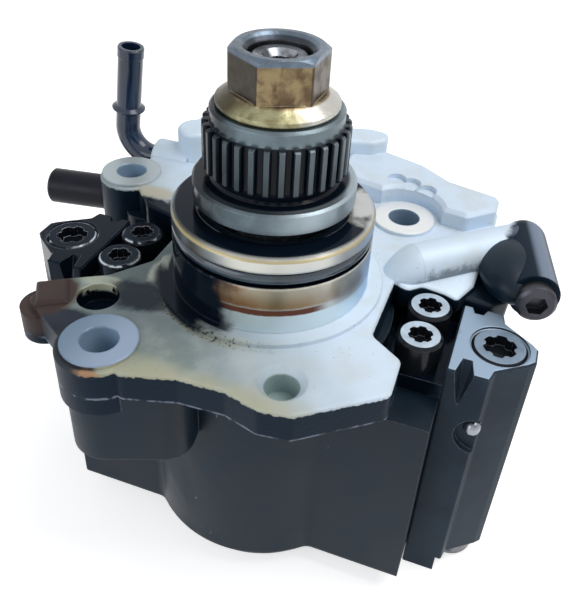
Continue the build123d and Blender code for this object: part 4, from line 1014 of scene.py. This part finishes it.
def nut_finish(colours):
    """Nut with a bare top and old gold passivation, darker on one side; painted shade darkens its left
    faces and the left of its flange, and a painted highlight lightens the right of its flange.
    """
    material, tree, shader, grain, wear = worn_finish(
        "Hub nut passivation", grain=(700.0, 160.0), wear=(0.0006, 0.6, 700.0)
    )
    height = along(tree, place(tree), "Z")
    across = along(tree, add(tree, "TexCoord").outputs["Normal"], "X")
    mottled = noise(tree, 380.0, 8.0, None, 0.4)
    gold = blend(tree, ramp(tree, mottled, 0.34, 0.68), colours.nut_gold, SHADE["dark gold"])
    look = Layers(tree, gold, ramp(tree, mottled, 0.34, 0.68, 0.22, 0.40), 0.8)
    look.lay(both(tree, ramp(tree, across, 0.60, 0.90), 0.88), SHADE["nut right"])
    # Painted shade, in dark brown, on the faces that turn to the left
    look.lay(both(tree, below(tree, across, -0.42, -0.22), 0.95), colours.nut_left_shade)
    olive = blend(tree, ramp(tree, mottled, 0.35, 0.7), SHADE["olive"], SHADE["olive blotch"])
    shadow = facing(tree, (-1.0, -0.05, 0), 0.20, 0.62, 0.2)
    olive = blend(tree, shadow, olive, SHADE["olive shadow"])
    # Painted highlight on the right of the flange
    flange_highlight = both(tree, facing(tree, (1.0, 0.25, 0), 0.30, 0.70, 0.2), 0.8)
    olive = blend(tree, flange_highlight, olive, SHADE["painted nut flange highlight"])
    look.lay(both(tree, below(tree, height, *NUT_COLLAR), 0.9), olive)
    look.lay(ramp(tree, height, *NUT_TOP), mottle(tree, grain, colours.nut_top, 0.6))
    look.lay(both(tree, wear["Mask"], 0.45), SHADE["nut edge"])
    look.lay(both(tree, ring(tree, 0.0078, 0.0003), 0.9), SHADE["nut bore"])
    look.show(shader)
    roughen(tree, shader, fade(tree, 0.5, mottled, grain["Height"]), 0.0003, 0.5, wear)
    return material


def ground_steel(name, colour, roughness, oiled=0.0):
    """Turned or ground steel, with an even film of dark oil if wanted."""
    material, tree, shader, grain, wear = worn_finish(
        name, grain=(1500.0, 120.0), wear=(0.0003, 0.5, 900.0)
    )
    turning = use(tree, "Turning Marks", Pitch=0.0004)
    # The more oil, the lower the noise at which it shows
    low, high = 0.62 - 0.4 * oiled, 0.70 - 0.3 * oiled
    dirt = both(tree, ramp(tree, noise(tree, 180.0, 6.0), low, high), 0.85)
    look = Layers(tree, mottle(tree, grain, colour, 0.75), roughness, 0.9)
    look.lay(dirt, SHADE["steel dirt"], 0.14, 0.1)
    look.show(shader)
    roughen(tree, shader, turning["Height"], 0.00003, 0.6, wear)
    return material


def plain_skin(name, colour, roughness, coat=0.0, grit=0.00004, sheen=0.5):
    """Paint, rubber or plastic with fine grit and slight blotches."""
    material, tree, shader, grain, wear = worn_finish(
        name, grain=(900.0, 90.0), wear=(0.0004, 0.35, 800.0)
    )
    patchy = ramp(tree, grain["Blotch"], 0.3, 0.7, roughness * 0.8, roughness * 1.2)
    look = Layers(tree, mottle(tree, grain, colour, 1.6), patchy, 0.0)
    look.lay(both(tree, wear["Mask"], 0.3), [min(1, c * 8) for c in colour])
    look.show(shader)
    set_sheen(shader, sheen)
    shader["Coat Weight"].default_value = coat
    shader["Coat Roughness"].default_value = 0.06
    roughen(tree, shader, grain["Height"], grit, 0.6, wear)
    return material


def dress(material, *names):
    """Give CAD nodes a material."""
    for name in names:
        mesh = frame["nodes"][name].data
        mesh.materials.clear()
        mesh.materials.append(material)


def sides(*names):
    """Right and left names of each piece."""
    return [name + side for name in names for side in ("_right", "_left")]


def settings(context):
    """Colours and surface values of the sidebar."""
    return context.scene.pump_colours, context.scene.pump_surface


def as_mesh(name, shape):
    """Smooth mesh from what bmesh has built."""
    mesh = bpy.data.meshes.new(name)
    shape.to_mesh(mesh)
    shape.free()
    mesh.shade_smooth()
    return mesh


def new_piece(name, mesh, material):
    """Piece that only the scene has, on the housing."""
    piece = bpy.data.objects.new(name, mesh)
    bpy.context.scene.collection.objects.link(piece)
    mesh.materials.append(material)
    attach(piece, "housing")
    return piece


class PUMP_OT_effects(Operator):
    """Build the shared surface effects once"""

    bl_idname = "pump.effects"
    bl_label = "Surface effects"

    def execute(self, context):
        for make in (
            make_patch, make_height_band, make_ring_band, make_side, make_grain,
            make_edge_wear, make_turning, make_nicks,
        ):
            make()
        return {"FINISHED"}


class PUMP_OT_flange(Operator):
    """Dress the cast flange with its spigot, bosses and gallery"""

    bl_idname = "pump.flange"
    bl_label = "Flange"

    def execute(self, context):
        dress(flange_casting(*settings(context)), "front_flange")
        return {"FINISHED"}


def web_mesh(name, outline, low, high, taper, slope):
    """Web of a plan outline in mm, narrowed towards its foot, with a sloping top."""
    shape = bmesh.new()
    middle = sum((Vector(corner) for corner in outline), Vector((0, 0))) / len(outline)
    lower, upper = [], []
    for corner in outline:
        foot = middle + (Vector(corner) - middle) * taper
        fall = Vector(corner).dot(Vector(slope))
        lower.append(shape.verts.new((foot.x * MM, foot.y * MM, low * MM)))
        upper.append(shape.verts.new((corner[0] * MM, corner[1] * MM, (high - fall) * MM)))
    shape.faces.new(list(reversed(lower)))
    shape.faces.new(upper)
    for index in range(len(outline)):
        after = (index + 1) % len(outline)
        shape.faces.new((lower[index], lower[after], upper[after], upper[index]))
    return as_mesh(name, shape)


def swelling_mesh(name, middle, towards, radius, reach, breadth):
    """Rounded swelling of a casting, drawn out towards a place; sizes are in mm."""
    shape = bmesh.new()
    bmesh.ops.create_uvsphere(shape, u_segments=48, v_segments=24, radius=radius * MM)
    for corner in shape.verts:
        corner.co.x *= reach / radius
        if breadth:
            corner.co.y *= breadth / radius
        else:
            corner.co.z += min(corner.co.x, 0) * ROOT_SINK
    mesh = as_mesh(name, shape)
    heading = math.atan2(towards[1] - middle[1], towards[0] - middle[0])
    put = Matrix.Translation((middle[0] * MM, middle[1] * MM, 0))
    mesh.transform(put @ Matrix.Rotation(heading, 4, "Z"))
    return mesh


class PUMP_OT_webs(Operator):
    """Add the cast webs and swellings that carry the fuel gallery"""

    bl_idname = "pump.webs"
    bl_label = "Gallery webs"

    def execute(self, context):
        materials = bpy.data.materials
        for name, (*form, coating) in WEBS.items():
            web = new_piece(name, web_mesh(name, *form), materials[coating])
            rounding = web.modifiers.new("Cast corners", "BEVEL")
            rounding.width = WEB_ROUNDING
            rounding.segments = WEB_SEGMENTS
        for name, (*form, coating) in SWELLINGS.items():
            new_piece(name, swelling_mesh(name, *form), materials[coating])
        return {"FINISHED"}


class PUMP_OT_housing(Operator):
    """Dress the cam housing and the rear cover"""

    bl_idname = "pump.housing"
    bl_label = "Housing and rear cover"

    def execute(self, context):
        colours, surface = settings(context)
        dress(black_paint("Housing paint", colours.paint, surface), "cam_housing", "rear_cover")
        return {"FINISHED"}


class PUMP_OT_heads(Operator):
    """Dress the two hydraulic heads, their plugs and their sealing balls"""

    bl_idname = "pump.heads"
    bl_label = "Hydraulic heads"

    def execute(self, context):
        colours, surface = settings(context)
        dress(head_block(colours, surface), *sides("head"))
        dry = screw_steel("Plug steel", colours, surface, PLUG_FACE, colours.plug_top)
        dress(dry, "top_plug_right")
        soaked = screw_steel("Oiled plug steel", colours, surface, PLUG_FACE, oiled="top_plug_left")
        dress(soaked, "top_plug_left")
        lower = ground_steel("Lower plug steel", colours.lower_plug, roughness=0.35, oiled=0.3)
        dress(lower, *sides("bottom_plug"))
        ball = ground_steel("Sealing ball steel", colours.sealing_ball, roughness=0.22, oiled=0.1)
        dress(ball, *sides("sealing_ball"))
        return {"FINISHED"}


class PUMP_OT_screws(Operator):
    """Dress the screws"""

    bl_idname = "pump.screws"
    bl_label = "Screws"

    def execute(self, context):
        colours, surface = settings(context)
        dry = screw_steel("Screw steel", colours, surface, SCREW_FACE, colours.screw_top)
        dress(dry, "head_screws_right", "cover_screws", "housing_screws", "metering_screws")
        left = "head_screws_left"
        dress(screw_steel("Oiled screw steel", colours, surface, SCREW_FACE, oiled=left), left)
        return {"FINISHED"}


class PUMP_OT_drive(Operator):
    """Dress the toothed hub, its nut and the shaft"""

    bl_idname = "pump.drive"
    bl_label = "Drive hub, nut and shaft"

    def execute(self, context):
        colours, surface = settings(context)
        dress(drive_hub_steel(colours, surface), "drive_hub")
        dress(nut_finish(colours), "hub_nut")
        shaft = ground_steel("Shaft steel", colours.shaft, roughness=0.25, oiled=0.55)
        dress(shaft, "drive_shaft")
        return {"FINISHED"}


class PUMP_OT_seals(Operator):
    """Dress the O-ring and the shaft seal"""

    bl_idname = "pump.seals"
    bl_label = "Seals"

    def execute(self, context):
        colour = context.scene.pump_colours.rubber
        rubber = plain_skin("Oily rubber", colour, roughness=0.16, coat=0.3, sheen=0.6)
        dress(rubber, "flange_o_ring", "shaft_seal")
        return {"FINISHED"}


class PUMP_OT_pipes(Operator):
    """Dress the fuel pipes and the gallery plug"""

    bl_idname = "pump.pipes"
    bl_label = "Fuel pipes"

    def execute(self, context):
        colours = context.scene.pump_colours
        pipe = plain_skin("Pipe paint", colours.pipe, roughness=0.16, coat=0.25, sheen=0.45)
        dress(pipe, "return_pipe")
        moulding = plain_skin(
            "Inlet moulding", colours.moulding, roughness=0.38, grit=0.00008, sheen=0.2
        )
        dress(moulding, "inlet_pipe")
        plug = ground_steel("Gallery plug steel", colours.gallery_plug, roughness=0.34)
        dress(plug, "gallery_plug")
        return {"FINISHED"}


class PUMP_OT_metering(Operator):
    """Dress the metering valve and the outlet unions"""

    bl_idname = "pump.metering"
    bl_label = "Metering valve and outlets"

    def execute(self, context):
        colours = context.scene.pump_colours
        zinc = ground_steel("Zinc plating", colours.zinc, roughness=0.32, oiled=0.1)
        dress(zinc, "metering_valve_body", *sides("outlet_union"))
        moulding = plain_skin(
            "Connector moulding", colours.moulding, roughness=0.5, grit=0.00006
        )
        dress(moulding, "metering_connector")
        return {"FINISHED"}


class PUMP_OT_inner(Operator):
    """Dress the bushes, rider, tappets, plungers and valves"""

    bl_idname = "pump.inner"
    bl_label = "Inner pieces"

    def execute(self, context):
        colours = context.scene.pump_colours
        bronze = ground_steel("Bearing bronze", colours.bronze, roughness=0.3, oiled=0.1)
        dress(bronze, "front_bush", "rear_bush", "rider_bush")
        steel = ground_steel("Ground steel", colours.bright_steel, roughness=0.22, oiled=0.1)
        dress(
            steel, "rider_ring", "metering_spool",
            *sides("tappet", "plunger", "inlet_valve", "inlet_seat", "outlet_seat", "outlet_ball"),
        )
        return {"FINISHED"}


def wound_wire(name, length, mean_r, wire, turns):
    """Mesh of round wire wound about Z from height zero to the length."""
    shape = bmesh.new()
    climb = (length - wire) / (turns * STEPS_PER_TURN)
    rise = climb * STEPS_PER_TURN / (math.tau * mean_r)
    rings = []
    for step in range(turns * STEPS_PER_TURN + 1):
        turned = math.tau * step / STEPS_PER_TURN
        outward = Vector((math.cos(turned), math.sin(turned), 0))
        ahead = Vector((-outward.y, outward.x, rise)).normalized()
        lift = ahead.cross(outward)
        centre = outward * mean_r + Vector((0, 0, wire / 2 + climb * step))
        corners = []
        for facet in range(WIRE_FACETS):
            around = math.tau * facet / WIRE_FACETS
            out = outward * math.cos(around) + lift * math.sin(around)
            corners.append(shape.verts.new(centre + out * wire / 2))
        rings.append(corners)
    for before, after in zip(rings, rings[1:]):
        for facet in range(WIRE_FACETS):
            near = (facet + 1) % WIRE_FACETS
            shape.faces.new((before[facet], before[near], after[near], after[facet]))
    shape.faces.new(rings[0])
    shape.faces.new(rings[-1])
    bmesh.ops.recalc_face_normals(shape, faces=shape.faces)
    return as_mesh(name, shape)


def wind_spring(row, steel):
    """Coil for a spring node, which takes the node's place."""
    node, letter = row["node"], row["mode"][-1]
    wire, turns = SPRING_WIRE[node.rsplit("_left", 1)[0].rsplit("_right", 1)[0]]
    index = "xyz".index(letter)
    across = (index + 1) % 3
    low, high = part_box(node)
    length = high[index] - low[index]
    mean_r = (high[across] - low[across] - wire) / 2
    foot = (low + high) / 2
    foot[index] = low[index]
    mesh = wound_wire(node + "_coil", length, mean_r, wire, turns)
    mesh.transform(Matrix.Translation(foot) @ TURN_TO[letter])
    coil = new_piece(node + "_coil", mesh, steel)
    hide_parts(node)
    held = foot.copy()
    held[index] = row[f"fixed_end_{letter}_m"]
    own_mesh(coil)


class PUMP_OT_springs(Operator):
    """Wind the return springs in place of the spring nodes"""

    bl_idname = "pump.springs"
    bl_label = "Return springs"

    def execute(self, context):
        colour = context.scene.pump_colours.spring_wire
        steel = ground_steel("Spring wire", colour, roughness=0.3, oiled=0.2)
        for joint in frame["record"]["behaviour"]["joints"]:
            for row in joint.get("deforming_nodes", []):
                wind_spring(row, steel)
        return {"FINISHED"}


def area_lamp(name, spot, aim, power, size, colour):
    """Soft lamp that points at a place."""
    data = bpy.data.lights.new(name, "AREA")
    data.shape = "RECTANGLE"
    data.size, data.size_y = size
    data.energy = power
    data.color = colour
    lamp = bpy.data.objects.new(name, data)
    bpy.context.scene.collection.objects.link(lamp)
    lamp.location = spot
    lamp.rotation_euler = (Vector(aim) - Vector(spot)).to_track_quat("-Z", "Y").to_euler()


def seen_directly(tree):
    """Whether the camera sees a surface, straight, in a mirror or through glass."""
    ray = add(tree, "LightPath").outputs
    return either(tree, ray["Is Camera Ray"], ray["Is Glossy Ray"], ray["Is Transmission Ray"])


def pale_floor(stage):
    """Wide floor that looks white and keeps the pump's shadow."""
    reach, low = stage.floor_reach, cad_box[0].z
    mesh = bpy.data.meshes.new("floor")
    corners = [(-reach, -reach, low), (reach, -reach, low), (reach, reach, low), (-reach, reach, low)]
    mesh.from_pydata(corners, [], [(0, 1, 2, 3)])
    floor = bpy.data.objects.new("floor", mesh)
    bpy.context.scene.collection.objects.link(floor)
    material, tree, shader = finish("Pale floor")
    shader["Base Color"].default_value = (*SHADE["floor"], 1)
    shader["Roughness"].default_value = 0.9
    shader["Emission Color"].default_value = (1, 1, 1, 1)
    glow = maths(tree, "MULTIPLY", seen_directly(tree), stage.floor_glow)
    feed(tree, shader["Emission Strength"], glow)
    mesh.materials.append(material)


def plain_world(stage):
    """World with even light and a white background."""
    world = bpy.data.worlds.new("Studio")
    world.use_nodes = True
    tree = world.node_tree
    tree.nodes.clear()
    strength = fade(tree, seen_directly(tree), stage.sky, 1.0)
    background = add(tree, "Background", {"Color": (1, 1, 1), "Strength": strength})
    output = add(tree, "OutputWorld")
    tree.links.new(background.outputs["Background"], output.inputs["Surface"])
    return world


def photo_camera(stage):
    """Camera at the photograph's viewing angle."""
    data = bpy.data.cameras.new("Camera")
    data.lens = stage.lens
    data.sensor_width = SENSOR_WIDTH_MM
    data.shift_x, data.shift_y = stage.shift
    data.clip_start, data.clip_end = CLIP
    camera = bpy.data.objects.new("Camera", data)
    bpy.context.scene.collection.objects.link(camera)
    camera.location = stage.camera_place
    camera.rotation_euler = stage.camera_turn
    return camera


class PUMP_OT_stage(Operator):
    """Set up the floor, lamps, background and camera"""

    bl_idname = "pump.stage"
    bl_label = "Stage and camera"

    def execute(self, context):
        scene = context.scene
        stage = scene.pump_stage
        pale_floor(stage)
        scene.world = plain_world(stage)
        middle = (cad_box[0] + cad_box[1]) / 2
        for (name, spot, size, colour), power in zip(LAMPS, (stage.key_power, stage.fill_power)):
            area_lamp(name, spot, middle, power, size, colour)
        scene.camera = photo_camera(stage)
        scene.view_settings.view_transform = "Standard"
        return {"FINISHED"}


steps = (
    PUMP_OT_effects, PUMP_OT_flange, PUMP_OT_housing, PUMP_OT_webs, PUMP_OT_heads,
    PUMP_OT_screws, PUMP_OT_drive, PUMP_OT_seals, PUMP_OT_pipes, PUMP_OT_metering,
    PUMP_OT_inner, PUMP_OT_springs, PUMP_OT_stage,
)


class PUMP_PT_finishes(Panel):
    """Colours, surface values and steps of the pump's finish"""

    bl_idname = "PUMP_PT_finishes"
    bl_label = "Injection pump"
    bl_space_type = "VIEW_3D"
    bl_region_type = "UI"
    bl_category = "Pump"

    def draw(self, context):
        for group in (context.scene.pump_colours, context.scene.pump_surface, context.scene.pump_stage):
            column = self.layout.column()
            for name in group.bl_rna.properties.keys():
                if name not in ("rna_type", "name"):
                    column.prop(group, name)
        for step in steps:
            self.layout.operator(step.bl_idname)


classes = (PumpColours, PumpSurface, PumpStage, *steps, PUMP_PT_finishes)


def register():
    """Register the classes and hang the settings on the scene."""
    for cls in classes:
        bpy.utils.register_class(cls)
    bpy.types.Scene.pump_colours = PointerProperty(type=PumpColours)
    bpy.types.Scene.pump_surface = PointerProperty(type=PumpSurface)
    bpy.types.Scene.pump_stage = PointerProperty(type=PumpStage)


def unregister():
    """Take everything back off."""
    del bpy.types.Scene.pump_stage
    del bpy.types.Scene.pump_surface
    del bpy.types.Scene.pump_colours
    for cls in reversed(classes):
        bpy.utils.unregister_class(cls)


def main():
    """Dress the pump and set the stage."""
    register()
    for step in steps:
        group, name = step.bl_idname.split(".")
        getattr(getattr(bpy.ops, group), name)()


if __name__ == "__main__":
    main()
